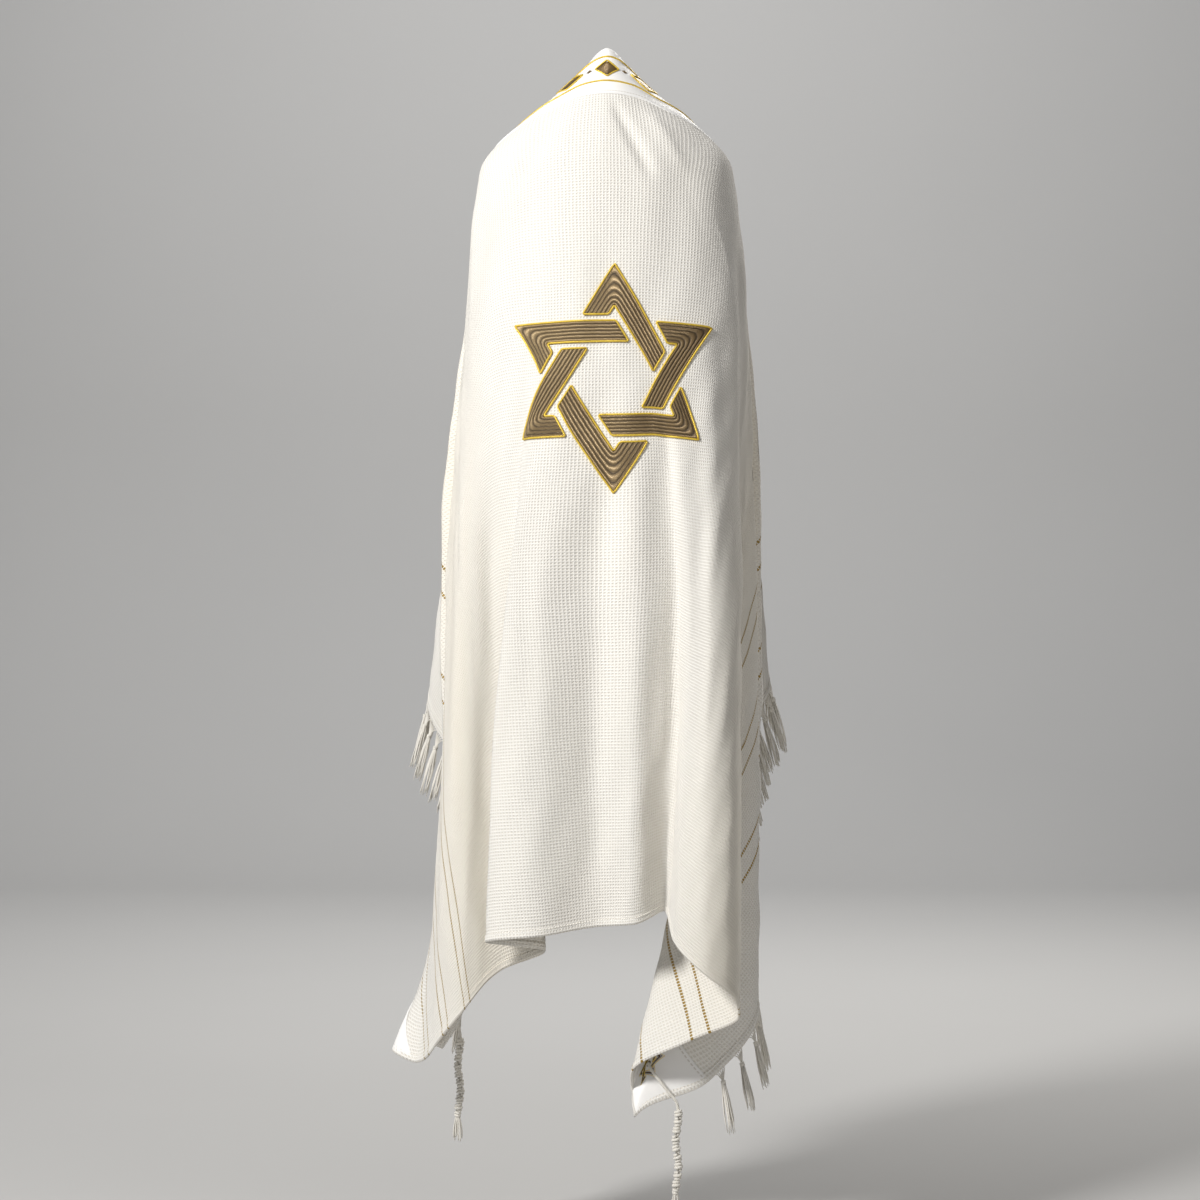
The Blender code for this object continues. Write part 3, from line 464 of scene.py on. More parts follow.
class Nodes:
    """Short calls to add and link the nodes of one material."""

    def __init__(self, name):
        self.material = bpy.data.materials.new(name)
        self.material.use_nodes = True
        self.tree = self.material.node_tree
        self.shader = self.tree.nodes["Principled BSDF"]

    def add(self, kind, **inputs):
        node = self.tree.nodes.new(kind)
        for key, value in inputs.items():
            self.put(node, key, value)
        return node

    def put(self, node, key, value):
        socket = node.inputs[int(key[1:])] if key[1:].isdigit() else node.inputs[key]
        if isinstance(value, bpy.types.NodeSocket):
            self.tree.links.new(value, socket)
        else:
            socket.default_value = value

    def math(self, operation, first, second=0.0, third=None):
        node = self.add("ShaderNodeMath", i0=first, i1=second)
        node.operation = operation
        if third is not None:
            self.put(node, "i2", third)
        return node.outputs[0]

    def times(self, first, second):
        return self.math("MULTIPLY", first, second)

    def scaled(self, value, factor, offset):
        return self.math("MULTIPLY_ADD", value, factor, offset)

    def apart(self, first, second):
        """How far two values lie apart."""
        return self.math("ABSOLUTE", self.math("SUBTRACT", first, second))

    def mix(self, share, first, second):
        node = self.tree.nodes.new("ShaderNodeMix")
        node.data_type = "RGBA"
        self.put(node, "i0", share)
        self.put(node, "i6", first)
        self.put(node, "i7", second)
        return node.outputs[2]

    def noise(self, vector, scale, detail=2.0):
        node = self.add("ShaderNodeTexNoise", Vector=vector, Scale=scale, Detail=detail)
        return node.outputs["Fac"]

    def flat(self):
        """The flat place kept on the mesh, as a vector in metres and its two parts."""
        attribute = self.tree.nodes.new("ShaderNodeAttribute")
        attribute.attribute_name = "flat"
        parts = self.add("ShaderNodeSeparateXYZ", Vector=attribute.outputs["Vector"])
        return attribute.outputs["Vector"], parts.outputs[0], parts.outputs[1]

    def place(self):
        """The place on the object, as a vector in metres and its three parts."""
        vector = self.tree.nodes.new("ShaderNodeTexCoord").outputs["Object"]
        return (vector, *self.add("ShaderNodeSeparateXYZ", Vector=vector).outputs)

    def finish(self, tone, roughness, specular=0.5, metallic=0.0, sheen=0.0):
        """Links or sets the shader's colour and finish."""
        for name, value in (("Base Color", tone), ("Roughness", roughness),
                            ("Specular IOR Level", specular), ("Metallic", metallic),
                            ("Sheen Weight", sheen)):
            self.put(self.shader, name, value)
        return self.material

    def bump(self, height, strength, distance):
        node = self.add("ShaderNodeBump", Height=height, Strength=strength, Distance=distance)
        self.put(self.shader, "Normal", node.outputs["Normal"])

    def wave(self, value, period):
        """A sine of the value with that period, from 0 to 1."""
        turn = self.times(value, 2 * math.pi / period)
        return self.scaled(self.math("SINE", turn), 0.5, 0.5)


def rgba(red, green, blue):
    return (red, green, blue, 1.0)


WEAVE_PITCH = 0.0044
YARN_PITCH = 0.0011
STRIPE_PLACES = (0.145, 0.170, 0.245, 0.270, 0.345, 0.370)   # from each end
STRIPE_HALF = 0.0019
# painted warm shade on the woven cloth: its peak, from each end, its fall over a metre and its
# least share
SHADE_TINT_PLACE, SHADE_TINT_FALL, SHADE_TINT_LEAST = 0.45, 3.2, 0.15
WEAVE_TOP, WEAVE_HOLLOW_SHADE = rgba(0.900, 0.885, 0.850), rgba(0.66, 0.61, 0.52)
WEAVE_CLOUD, WEAVE_PAINTED_SHADE = rgba(0.88, 0.83, 0.73), rgba(0.87, 0.80, 0.66)
STRIPE_DARK, STRIPE_LIGHT = rgba(0.17, 0.10, 0.012), rgba(0.55, 0.36, 0.06)
SATIN_LIGHT, SATIN_DARK = rgba(0.94, 0.93, 0.91), rgba(0.86, 0.84, 0.80)
SEAM_THREAD = rgba(0.70, 0.67, 0.62)
SATIN_PITCH, SEAM_PITCH, SEAM_HALF = 0.0009, 0.0042, 0.0009
THREAD_PITCH = 0.0012
# the shaded and the lit bronze of the painted light on the star's stitches
BRONZE_SHADED, BRONZE_LIT = rgba(0.115, 0.064, 0.020), rgba(0.50, 0.37, 0.20)
BORDER_DARK, BORDER_LIGHT, BORDER_PITCH = rgba(0.045, 0.025, 0.008), rgba(0.30, 0.20, 0.09), 0.0011
GOLD_DARK, GOLD_LIGHT, GOLD_PITCH = rgba(0.52, 0.31, 0.015), rgba(1.0, 0.76, 0.12), 0.0016
# a darker thread tone, and the painted shade in the gaps between rows of stitches
BRONZE_THREAD, ROW_GAP_SHADE = rgba(0.09, 0.05, 0.018), rgba(0.022, 0.012, 0.004)
YARN_DARK, YARN_LIGHT, PLY_PITCH = rgba(0.74, 0.70, 0.62), rgba(0.90, 0.88, 0.83), 0.0022
BRASS_DARK, BRASS_LIGHT = rgba(0.09, 0.075, 0.06), rgba(0.20, 0.16, 0.10)


def woven_material():
    """Cream waffle weave with thin gold stripes parallel to the two ends."""
    m = Nodes("woven_cloth")
    flat, across, down = m.flat()
    wobble = m.noise(flat, 9.0, 3.0)
    ribs_a = m.wave(m.scaled(wobble, 0.004, across), WEAVE_PITCH)
    ribs_d = m.wave(m.scaled(wobble, 0.003, down), WEAVE_PITCH)
    waffle = m.math("MAXIMUM", m.times(ribs_a, 0.92), ribs_d)
    yarn = m.times(m.wave(across, YARN_PITCH), m.wave(down, YARN_PITCH))
    slub = m.noise(flat, 700.0)
    m.bump(m.scaled(slub, 0.45, m.scaled(yarn, 0.25, waffle)), 0.85, 0.0012)
    from_end = m.math("SUBTRACT", HALF_WIDTH, m.math("ABSOLUTE", across))
    stripe = 0.0
    for place in STRIPE_PLACES:
        near = m.math("LESS_THAN", m.apart(from_end, place), STRIPE_HALF)
        stripe = m.math("MAXIMUM", near, stripe)
    stripe = m.times(stripe, m.math("GREATER_THAN", m.wave(down, WEAVE_PITCH), 0.16))
    # painted shade: the waffle's hollows are mixed toward a darker colour
    hollow = m.math("SUBTRACT", 1.0, waffle)
    tone = m.mix(m.times(hollow, 0.65), WEAVE_TOP, WEAVE_HOLLOW_SHADE)
    tone = m.mix(m.times(m.noise(flat, 5.0), 0.22), tone, WEAVE_CLOUD)
    # painted warm shade: a cream mixed in, strongest at a set distance from either end
    painted_shade = m.math("SUBTRACT", 1.0, m.times(m.apart(from_end, SHADE_TINT_PLACE), SHADE_TINT_FALL))
    painted_shade = m.times(m.math("MAXIMUM", painted_shade, SHADE_TINT_LEAST), 0.60)
    tone = m.mix(painted_shade, tone, WEAVE_PAINTED_SHADE)
    gold = m.mix(m.noise(flat, 900.0, 1.0), STRIPE_DARK, STRIPE_LIGHT)
    m.put(m.shader, "Sheen Roughness", 0.55)
    return m.finish(m.mix(stripe, tone, gold), m.scaled(stripe, -0.40, 0.86), specular=0.25,
                    metallic=m.times(stripe, 0.35), sheen=0.22)


def satin_material(name, seam_down):
    """Smooth off-white satin, with a line of stitches that far down the cut."""
    m = Nodes(name)
    flat, across, down = m.flat()
    seam = m.math("LESS_THAN", m.apart(down, seam_down), SEAM_HALF)
    seam = m.times(seam, m.math("GREATER_THAN", m.wave(across, SEAM_PITCH), 0.25))
    tone = m.mix(m.times(m.noise(flat, 14.0, 3.0), 0.5), SATIN_LIGHT, SATIN_DARK)
    grain = m.scaled(seam, -4.0, m.wave(down, SATIN_PITCH))
    m.bump(m.scaled(m.noise(flat, 45.0, 3.0), 2.2, grain), 0.30, 0.0006)
    return m.finish(m.mix(seam, tone, SEAM_THREAD), m.scaled(m.noise(flat, 60.0), 0.16, 0.40),
                    specular=0.45, sheen=0.15)


def row_stitch_material():
    """Bronze satin stitch: threads across each row, with painted shade in the dark wavering gaps
    between rows, and painted light, brighter to the left and upward.

    Its "flat" vector holds the way along the bar and the row, not a place on the cut.
    """
    m = Nodes("bronze_stitch")
    _, along, row = m.flat()
    place, x, _, z = m.place()
    bent = m.math("ADD", row, m.scaled(m.noise(place, 170.0), 0.42, -0.21))
    crown = m.math("ABSOLUTE", m.math("SINE", m.times(bent, math.pi)))
    gap = m.math("SUBTRACT", 1.0, m.math("POWER", crown, 0.75))
    threads = m.wave(m.scaled(m.noise(place, 260.0), 0.0012, along), THREAD_PITCH)
    # painted light: lighter to the left and upward, toward the key lamp, with random clouding
    sweep = m.scaled(x, -2.4, m.times(m.noise(place, 9.0, 1.0), 0.9))
    sweep = m.scaled(z, 0.7, m.math("ADD", sweep, 0.45))
    sweep = m.math("MAXIMUM", m.math("MINIMUM", sweep, 1.0), 0.0)
    tone = m.mix(sweep, BRONZE_SHADED, BRONZE_LIT)
    tone = m.mix(m.times(threads, 0.35), tone, BRONZE_THREAD)
    m.bump(m.scaled(threads, 0.30, crown), 0.8, 0.0008)
    # painted shade in the gaps between rows
    return m.finish(m.mix(gap, tone, ROW_GAP_SHADE), m.scaled(gap, 0.3, 0.36),
                    metallic=m.scaled(gap, -0.35, 0.45))


def stitch_material(name, dark, light, pitch, metallic):
    """Slanting threads of a cord or a padded stitch, in bronze or bright gold."""
    m = Nodes(name)
    place, x, _, z = m.place()
    threads = m.wave(m.scaled(m.noise(place, 240.0), 0.0012, m.math("ADD", x, z)), pitch)
    cloudy = m.noise(place, 130.0, 3.0)
    blend = m.scaled(threads, 0.45, m.times(cloudy, 0.6))
    m.bump(threads, 0.5, 0.0004)
    return m.finish(m.mix(blend, dark, light), m.scaled(cloudy, 0.22, 0.28), metallic=metallic)


def yarn_material():
    """Matt off-white twisted yarn of the fringe and the corner tassels."""
    m = Nodes("fringe_yarn")
    place, x, y, z = m.place()
    plies = m.wave(m.scaled(z, 1.4, m.math("ADD", x, y)), PLY_PITCH)
    fuzz = m.noise(place, 900.0, 3.0)
    blend = m.scaled(fuzz, 0.4, m.times(plies, 0.35))
    m.bump(m.scaled(fuzz, 0.5, plies), 0.6, 0.0005)
    return m.finish(m.mix(blend, YARN_DARK, YARN_LIGHT), m.scaled(fuzz, 0.12, 0.78),
                    specular=0.25, sheen=0.30)


def eyelet_material():
    """Dark brass thread round the holes of the corner patches."""
    m = Nodes("eyelet_thread")
    wear = m.noise(m.place()[0], 500.0, 3.0)
    m.bump(wear, 0.4, 0.0003)
    return m.finish(m.mix(wear, BRASS_DARK, BRASS_LIGHT), m.scaled(wear, 0.2, 0.5))


# ---- making pieces ----

def new_piece(name, points, faces, material, flat=None):
    """A mesh piece that rides on the root body and carries the material it is given."""
    mesh = bpy.data.meshes.new(name)
    mesh.from_pydata([tuple(point) for point in points], [], [tuple(f) for f in faces])
    if flat is not None:
        attribute = mesh.attributes.new("flat", "FLOAT_VECTOR", "POINT")
        padded = np.column_stack((flat, np.zeros(len(flat))))
        attribute.data.foreach_set("vector", padded.astype(np.float32).ravel())
    mesh.validate()
    mesh.update()
    obj = bpy.data.objects.new(name, mesh)
    bpy.context.scene.collection.objects.link(obj)
    mesh.materials.append(material)
    mesh.shade_smooth()
    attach(obj, "root")
    return obj


def grid_faces(columns, rows, start=0):
    """Quads of a grid whose points run down each column."""
    faces = []
    for column in range(columns - 1):
        for row in range(rows - 1):
            a = start + column * rows + row
            faces.append((a, a + 1, a + rows + 1, a + rows))
    return faces


def shell(columns, rows, outer, inner, flat):
    """Points, faces and flat places of a closed thin shell on a grid."""
    count = columns * rows
    top = grid_faces(columns, rows)
    bottom = [face[::-1] for face in grid_faces(columns, rows, count)]
    rim = list(range(rows))
    rim += [column * rows + rows - 1 for column in range(1, columns)]
    rim += [(columns - 1) * rows + row for row in range(rows - 2, -1, -1)]
    rim += [column * rows for column in range(columns - 2, 0, -1)]
    sides = []
    for first, second in zip(rim, rim[1:] + rim[:1]):
        sides.append((second, first, first + count, second + count))
    return np.concatenate((outer, inner)), top + bottom + sides, np.concatenate((flat, flat))


def laid_patch(name, low, high, facing, material):
    """A rectangle of satin sewn on the cloth, softly rounded at its rim."""
    rim = facing.rim
    spans = []
    for start, end in zip(low, high):
        even = np.linspace(start + rim, end - rim, max(2, int((end - start) / facing.step)))
        spans.append(np.concatenate(([start, start + rim * 0.35], even, [end - rim * 0.35, end])))
    across, down = (values.ravel() for values in np.meshgrid(*spans, indexing="ij"))
    inset = np.minimum(np.minimum(across - low[0], high[0] - across),
                       np.minimum(down - low[1], high[1] - down))
    height = FACING_LIFT + facing.thick * np.sqrt(np.clip(inset / rim, 0.02, 1))
    points, faces, flat = laid_shell(len(spans[0]), len(spans[1]),
                                     np.column_stack((across, down)), height, FACING_UNDER)
    return new_piece(name, points, faces, material, flat)


def laid_shell(columns, rows, flat, height, under, kept=None):
    """A closed shell laid on the cloth over flat places, which are kept if nothing else is."""
    base, normal = face_lay(*flat.T)
    return shell(columns, rows, base + normal * height[:, None], base + normal * under,
                 flat if kept is None else kept)


def ring_faces(stations, around):
    """Faces of a closed tube whose points go round each of its stations in turn."""
    faces = []
    for station in range(stations - 1):
        for k in range(around):
            a, b = station * around + k, station * around + (k + 1) % around
            faces.append((a, b, b + around, a + around))
    faces.append(tuple(range(around))[::-1])
    faces.append(tuple(range((stations - 1) * around, stations * around)))
    return faces


def tube(points, radii, sides):
    """Points and faces of a closed tube along a path."""
    points = np.asarray(points, float)
    radii = np.broadcast_to(np.asarray(radii, float), len(points))
    heading = unit(np.gradient(points, axis=0))
    across = np.cross(heading[0], (0.0, 1.0, 0.0))
    if np.linalg.norm(across) < 0.2:
        across = np.cross(heading[0], (1.0, 0.0, 0.0))
    verts = []
    for point, radius, along in zip(points, radii, heading):
        across = unit(across - along * (across @ along))
        deep = np.cross(along, across)
        for k in range(sides):
            turn = 2 * math.pi * k / sides
            verts.append(point + radius * (across * math.cos(turn) + deep * math.sin(turn)))
    return verts, ring_faces(len(points), sides)


def laid_cord(across, down, lift, radius):
    """A thin cord along flat places, its middle that far out of the cloth."""
    base, normal = face_lay(across, down)
    return tube(base + normal * lift, radius, 6)


def face_outwards(obj):
    """Turns every face of an object outwards."""
    bm = bmesh.new()
    bm.from_mesh(obj.data)
    bmesh.ops.recalc_face_normals(bm, faces=bm.faces[:])
    bm.to_mesh(obj.data)
    bm.free()


class Bundle:
    """Many small closed shapes gathered into one mesh."""

    def __init__(self, *shapes):
        self.points, self.faces = [], []
        for shape in shapes:
            self.add(shape)

    def add(self, shape):
        points, faces = shape
        start = len(self.points)
        self.points += list(points)
        self.faces += [tuple(i + start for i in face) for face in faces]

    def piece(self, name, material, slot):
        obj = new_piece(name, self.points, self.faces, material)
        face_outwards(obj)
        return obj


# ---- cloth and hem ----

def cloth_piece(material):
    """The whole woven rectangle as one thin shell on its hanging lines."""
    lines = {fold.edge for fold in FOLDS}
    for run in PLEAT_RUNS:
        lines.update(pleat.edge for pleat in run.lines)
    lines = sorted(lines)
    edges = []
    for first, second in zip(lines, lines[1:]):
        steps = max(2, round((second - first) / COLUMN_STEP))
        edges += list(np.linspace(first, second, steps, endpoint=False))
    edges.append(lines[-1])
    shares = (np.arange(ROWS + 1) / ROWS) ** ROW_POWER
    edge, share = (v.ravel() for v in np.meshgrid(edges, shares, indexing="ij"))
    across, down = flat_of(edge, share)
    normal = face_normals(across, down)
    height = crease_height(across, down)
    outer = hang(edge, share) + normal * height[:, None]
    inner = outer - normal * CLOTH_THICK
    points, faces, flat = shell(len(edges), len(shares), outer, inner,
                                np.column_stack((across, down)))
    return new_piece("woven_cloth", points, faces, material, flat)


def hem(name, first, last, material):
    """A narrow turned hem that wraps the cloth's edge, from one way round it to another."""
    edge = np.linspace(first, last, int(abs(last - first) / HEM_STEP) + 1)
    across, down = edge_place(np.abs(edge))
    places = np.column_stack((np.sign(edge) * across, down))
    inward = np.where((np.abs(edge) <= HALF_WIDTH)[:, None], np.array((0.0, -1.0)),
                      np.column_stack((-np.sign(edge), np.zeros(len(edge)))))
    rings, flats = [], []
    for into, out in HEM_SECTION:
        flat = places + inward * max(into, 0.0)
        base, normal = face_lay(*flat.T)
        if into < 0:
            nearer, _ = face_lay(*(places + inward * EDGE_PROBE / 2).T)
            base = base + unit(base - nearer) * -into
        rings.append(base + normal * out)
        flats.append(flat)
    rings = np.array(rings).transpose(1, 0, 2)
    flats = np.array(flats).transpose(1, 0, 2)
    return new_piece(name, rings.reshape(-1, 3), ring_faces(*rings.shape[:2]), material,
                     flats.reshape(-1, 2))


# ---- star ----

def star_arms(angle, cut):
    """The two bars of one star point as flat outlines: a long one over, a short one under."""
    slant = math.radians(30)
    tip_inner = cut.radius - cut.bar / math.sin(slant)
    along = np.array((-math.cos(slant), math.sin(slant)))
    over = (np.array((-math.sin(slant), math.cos(slant))), cut.radius / 2 - cut.bar - cut.gap)
    under = (np.array((-1.0, 0.0)), -(cut.radius / 2 + cut.gap))
    c, s = math.cos(angle), math.sin(angle)
    arms = []
    for side, (facing, reach) in ((1, over), (-1, under)):
        corners = []
        for start in (np.array((cut.radius, 0.0)), np.array((tip_inner, 0.0))):
            corners.append(start)
            corners.append(start + along * (reach - facing @ start) / (facing @ along))
        tip, outer_end, tip_in, inner_end = corners
        arms.append([np.array((x * c - y * side * s, x * s + y * side * c))
                     for x, y in (tip, outer_end, inner_end, tip_in)])
    return arms


def corner_rows(outer, inner, rows, step, bar):
    """Rows that run from one end of a bent bar round its corner to the other end.

    outer and inner are the bar's two edges, each as end, corner, end. Rows between them
    turn with a soft bend; the two edges themselves keep their sharp corners.
    """
    lines = []
    long_steps = max(3, int(np.linalg.norm(outer[1] - outer[0]) / step))
    short_steps = max(3, int(np.linalg.norm(outer[2] - outer[1]) / step))
    bend = np.linspace(0, 1, 9)[:, None]
    for share in np.linspace(0, 1, rows):
        first, corner, last = (a + (b - a) * share for a, b in zip(outer, inner))
        before, after = first - corner, last - corner
        reach = bar * ROW_BEND * 4 * share * (1 - share)
        reach = min(reach, 0.7 * np.linalg.norm(before), 0.7 * np.linalg.norm(after))
        start = corner + unit(before) * reach
        end = corner + unit(after) * reach
        turn = (1 - bend) ** 2 * start + 2 * bend * (1 - bend) * corner + bend ** 2 * end
        lines.append(np.concatenate((np.linspace(first, start, long_steps)[:-1], turn,
                                     np.linspace(end, last, short_steps)[1:])))
    return np.array(lines).transpose(1, 0, 2)


def satin_point(centre, arms, cut):
    """One star point in satin stitch, its rounded rows turning smoothly at the tip."""
    over, under = arms
    outer = (over[1], over[0], under[1])
    inner = (over[2], over[3], under[2])
    rows = cut.rows * SAMPLES_A_ROW + 1
    places = corner_rows(outer, inner, rows, max(cut.bar * 0.10, 0.0012), cut.bar)
    columns = len(places)
    flat = places.reshape(-1, 2) + centre
    steps = np.linalg.norm(np.diff(places, axis=0), axis=2)
    along = np.concatenate((np.zeros((1, rows)), np.cumsum(steps, axis=0)))
    row = np.broadcast_to(np.linspace(0, cut.rows, rows), (columns, rows))
    ridge = np.sqrt(np.abs(np.sin(np.pi * row)))
    from_side = np.minimum(row, cut.rows - row) * cut.bar / cut.rows
    from_end = np.minimum(along, along[-1] - along)
    rim = np.clip(np.minimum(from_side, from_end) / STITCH_RIM, 0.25, 1)
    height = (STITCH_LIFT + cut.thick * (0.40 + 0.60 * ridge) * rim).ravel()
    return laid_shell(columns, rows, flat, height, STITCH_UNDER,
                      np.column_stack((along.ravel(), row.ravel())))


def outline_cord(bundle, centre, corners, radius, lift):
    """A couched gold cord round an outline, its corners slightly rounded."""
    path = []
    for before, corner, after in zip(corners[-1:] + corners[:-1], corners,
                                     corners[1:] + corners[:1]):
        path.append(corner + unit(before - corner) * radius * 1.2)
        path.append(corner + unit(after - corner) * radius * 1.2)
    dense = []
    for first, second in zip(path, path[1:] + path[:1]):
        count = max(1, int(np.linalg.norm(second - first) / 0.004))
        dense += [first + (second - first) * step / count for step in range(count)]
    dense.append((dense[0] + dense[1]) / 2)
    bundle.add(laid_cord(*(np.array(dense) + centre).T, lift, radius))


def point_outline(arms):
    """The joined outline of both bars of one star point."""
    over, under = arms
    tip, over_outer, over_inner, tip_in = over
    _, under_outer, under_inner, _ = under
    return [tip, over_outer, over_inner, tip_in, under_inner, under_outer]


def star(name, centre, cut, materials):
    """Six interlaced points in satin stitch, each edged with a bright gold cord."""
    bronze, gold = materials
    centre = np.array(centre)
    pieces = []
    cords = Bundle()
    for point in range(6):
        arms = star_arms(math.radians(-90 + 60 * point) + cut.turn, cut)
        points, faces, stitch = satin_point(centre, arms, cut)
        outline_cord(cords, centre, point_outline(arms), cut.cord, cut.cord)
        obj = new_piece("%s_point_%d" % (name, point + 1), points, faces, bronze,
                        stitch)
        face_outwards(obj)
        pieces.append(obj)
    pieces.append(cords.piece(name + "_gold_cord", gold, "gold_embroidery"))
    return pieces


# ---- neckband ornament ----

def band_ornament(stitch, gold):
    """A plain border on the neckband: lozenges edged with gold, between two gold cords."""
    filled, cords = Bundle(), Bundle()
    count = int(BAND_HALF_LENGTH / LOZENGE_PITCH) - 1
    corners = [np.array(c) for c in ((-LOZENGE_LONG, 0.0), (0.0, -LOZENGE_HIGH),
                                     (LOZENGE_LONG, 0.0), (0.0, LOZENGE_HIGH))]
    for place in range(-count, count + 1):
        centre = np.array((place * LOZENGE_PITCH, BAND_WIDTH / 2))
        lozenge(filled, centre, corners)
        outline_cord(cords, centre, corners, LOZENGE_CORD, LOZENGE_CORD_LIFT)
        between = centre + np.array((LOZENGE_PITCH / 2, 0.0))
        lozenge(filled, between, [corner * SMALL_LOZENGE for corner in corners])
    reach = BAND_HALF_LENGTH - BAND_CORD_INSET
    for share in BAND_CORDS:
        across = np.linspace(-reach, reach, BAND_CORD_POINTS)
        down = np.full_like(across, BAND_WIDTH * share)
        cords.add(laid_cord(across, down, BAND_CORD_LIFT, BAND_CORD))
    return [filled.piece("neckband_lozenges", stitch, "gold_embroidery"),
            cords.piece("neckband_gold_cord", gold, "gold_embroidery")]


def lozenge(bundle, centre, corners):
    """One padded lozenge of stitches on the neckband."""
    shares = np.linspace(0, 1, LOZENGE_GRID)
    u, v = (values.ravel() for values in np.meshgrid(shares, shares, indexing="ij"))
    left, top, _, bottom = corners
    flat = centre + left + u[:, None] * (top - left) + v[:, None] * (bottom - left)
    crown = np.minimum(np.minimum(u, 1 - u), np.minimum(v, 1 - v))
    height = LOZENGE_LIFT + LOZENGE_CROWN * np.sqrt(np.clip(crown * 3, 0, 1))
    bundle.add(laid_shell(LOZENGE_GRID, LOZENGE_GRID, flat, height, LOZENGE_UNDER)[:2])


# ---- fringe ----

def edge_frame(side, down):
    """Place on the cloth's end, with the end's run, the way off it and the face's normal."""
    place = worn_point(side * HALF_WIDTH, down)
    ahead = worn_point(side * HALF_WIDTH, min(down + LEAN_PROBE, LENGTH))
    behind = worn_point(side * HALF_WIDTH, max(down - LEAN_PROBE, 0))
    inside = worn_point(side * (HALF_WIDTH - 2 * EDGE_PROBE), down)
    normal = face_lay([side * HALF_WIDTH], [down])[1][0]
    run = unit(ahead - behind)
    out = unit(np.cross(run, normal))
    if out @ (place - inside) < 0:
        out = -out
    return place, run, out, normal


def tassel_places():
    """Flat heights of the tassels along one end."""
    low = PATCH_SIDE + PATCH_CLEARANCE
    pitch = (LENGTH - 2 * low) / TASSELS_PER_END
    return [low + pitch * (tassel + 0.5) for tassel in range(TASSELS_PER_END)]


def fringe(name, side, material, seed):
    """Knotted tassels along one end: yarns gathered from the edge, a knot and a loose skirt."""
    draw = random.Random(seed)
    bundle = Bundle()
    for down in tassel_places():
        place, run, out, normal = edge_frame(side, down)
        level = np.array((run[0], run[1], 0.0))
        across = unit(level) if np.linalg.norm(level) > STEEP else run
        lean = out * TASSEL_LEAN * abs(run[2]) + normal * TASSEL_STAND
        heading = unit(np.array((lean[0], lean[1], -1.0)))
        deep = unit(np.cross(across, heading))
        knot = place + out * KNOT_OUT + heading * (KNOT_DROP + draw.uniform(-0.001, 0.002))
        for gather in GATHERS:
            start = place + run * gather - out * 0.002
            bend = place + run * gather * 0.6 + out * 0.004
            path = [start, bend, knot - heading * 0.004 + across * gather * 0.12, knot]
            bundle.add(tube(path, GATHER_RADII, 4))
        bundle.add(knot_shape(knot, across, deep, heading, KNOT_RADIUS))
        skirt = SKIRT_LENGTH + draw.uniform(-0.007, 0.006)
        for strand in range(SKIRT_STRANDS):
            turn = 2 * math.pi * strand / SKIRT_STRANDS + draw.uniform(-0.2, 0.2)
            spread = SKIRT_SPREAD if strand else 0.0
            way = across * math.cos(turn) * 1.15 + deep * math.sin(turn) * 0.85
            length = skirt * draw.uniform(0.88, 1.04)
            path = []
            for t in np.linspace(0, 1, len(SKIRT_RADII)):
                bow = way * (0.0014 + spread * math.sin(math.pi * min(t * 0.62 + 0.08, 1)))
                stray = across * 0.0016 * math.sin(t * 5 + turn * 3) * t
                path.append(knot + heading * (0.002 + length * t) + bow + stray)
            bundle.add(tube(path, SKIRT_RADII, 4))
    return bundle.piece(name, material, "fringe_yarn")


def knot_shape(centre, across, deep, heading, radius):
    """A small overhand knot: two turns of yarn wound round a tassel's neck or a cord."""
    path = []
    for t in np.linspace(0, 1, KNOT_POINTS):
        turn = 2 * math.pi * KNOT_TURNS * t
        swell = radius * (KNOT_WAIST + KNOT_SWELL * math.sin(math.pi * t))
        path.append(centre + (across * math.cos(turn) + deep * math.sin(turn)) * swell
                    + heading * (t - 0.5) * radius * KNOT_HIGH)
    return tube(path, radius * KNOT_THREAD, 5)


# ---- corner tassels ----

CORNERS = (("upper_left", -1, False), ("upper_right", 1, False),
           ("lower_left", -1, True), ("lower_right", 1, True))


def hole_place(side, at_hem):
    """Flat place of the hole in a corner patch."""
    return side * (HALF_WIDTH - HOLE_INSET), LENGTH - HOLE_INSET if at_hem else HOLE_INSET


def cord_path(side, at_hem):
    """The way of a corner's cords: up through the hole, out over the end and down."""
    across, down = hole_place(side, at_hem)
    path = [worn_point(across, down, CORD_UNDER), worn_point(across, down, CORD_ON_HOLE)]
    for share in CORD_PASSES:
        place = side * (HALF_WIDTH - HOLE_INSET * (1 - share))
        path.append(worn_point(place, down, CORD_ON_PATCH))
    inside = worn_point(side * (HALF_WIDTH - 2 * EDGE_PROBE), down)
    out = unit(worn_point(side * HALF_WIDTH, down) - inside)
    turn_point = path[-1] + out * EDGE_CLEARANCE
    path.append(turn_point)
    steps = 10
    for step in range(1, steps + 1):
        sway = CORD_SWAY * math.sin(step * 1.1)
        path.append(turn_point + np.array((sway, 0.0, -CORD_DROP * step / steps)))
    return resample(path, CORD_STEP)


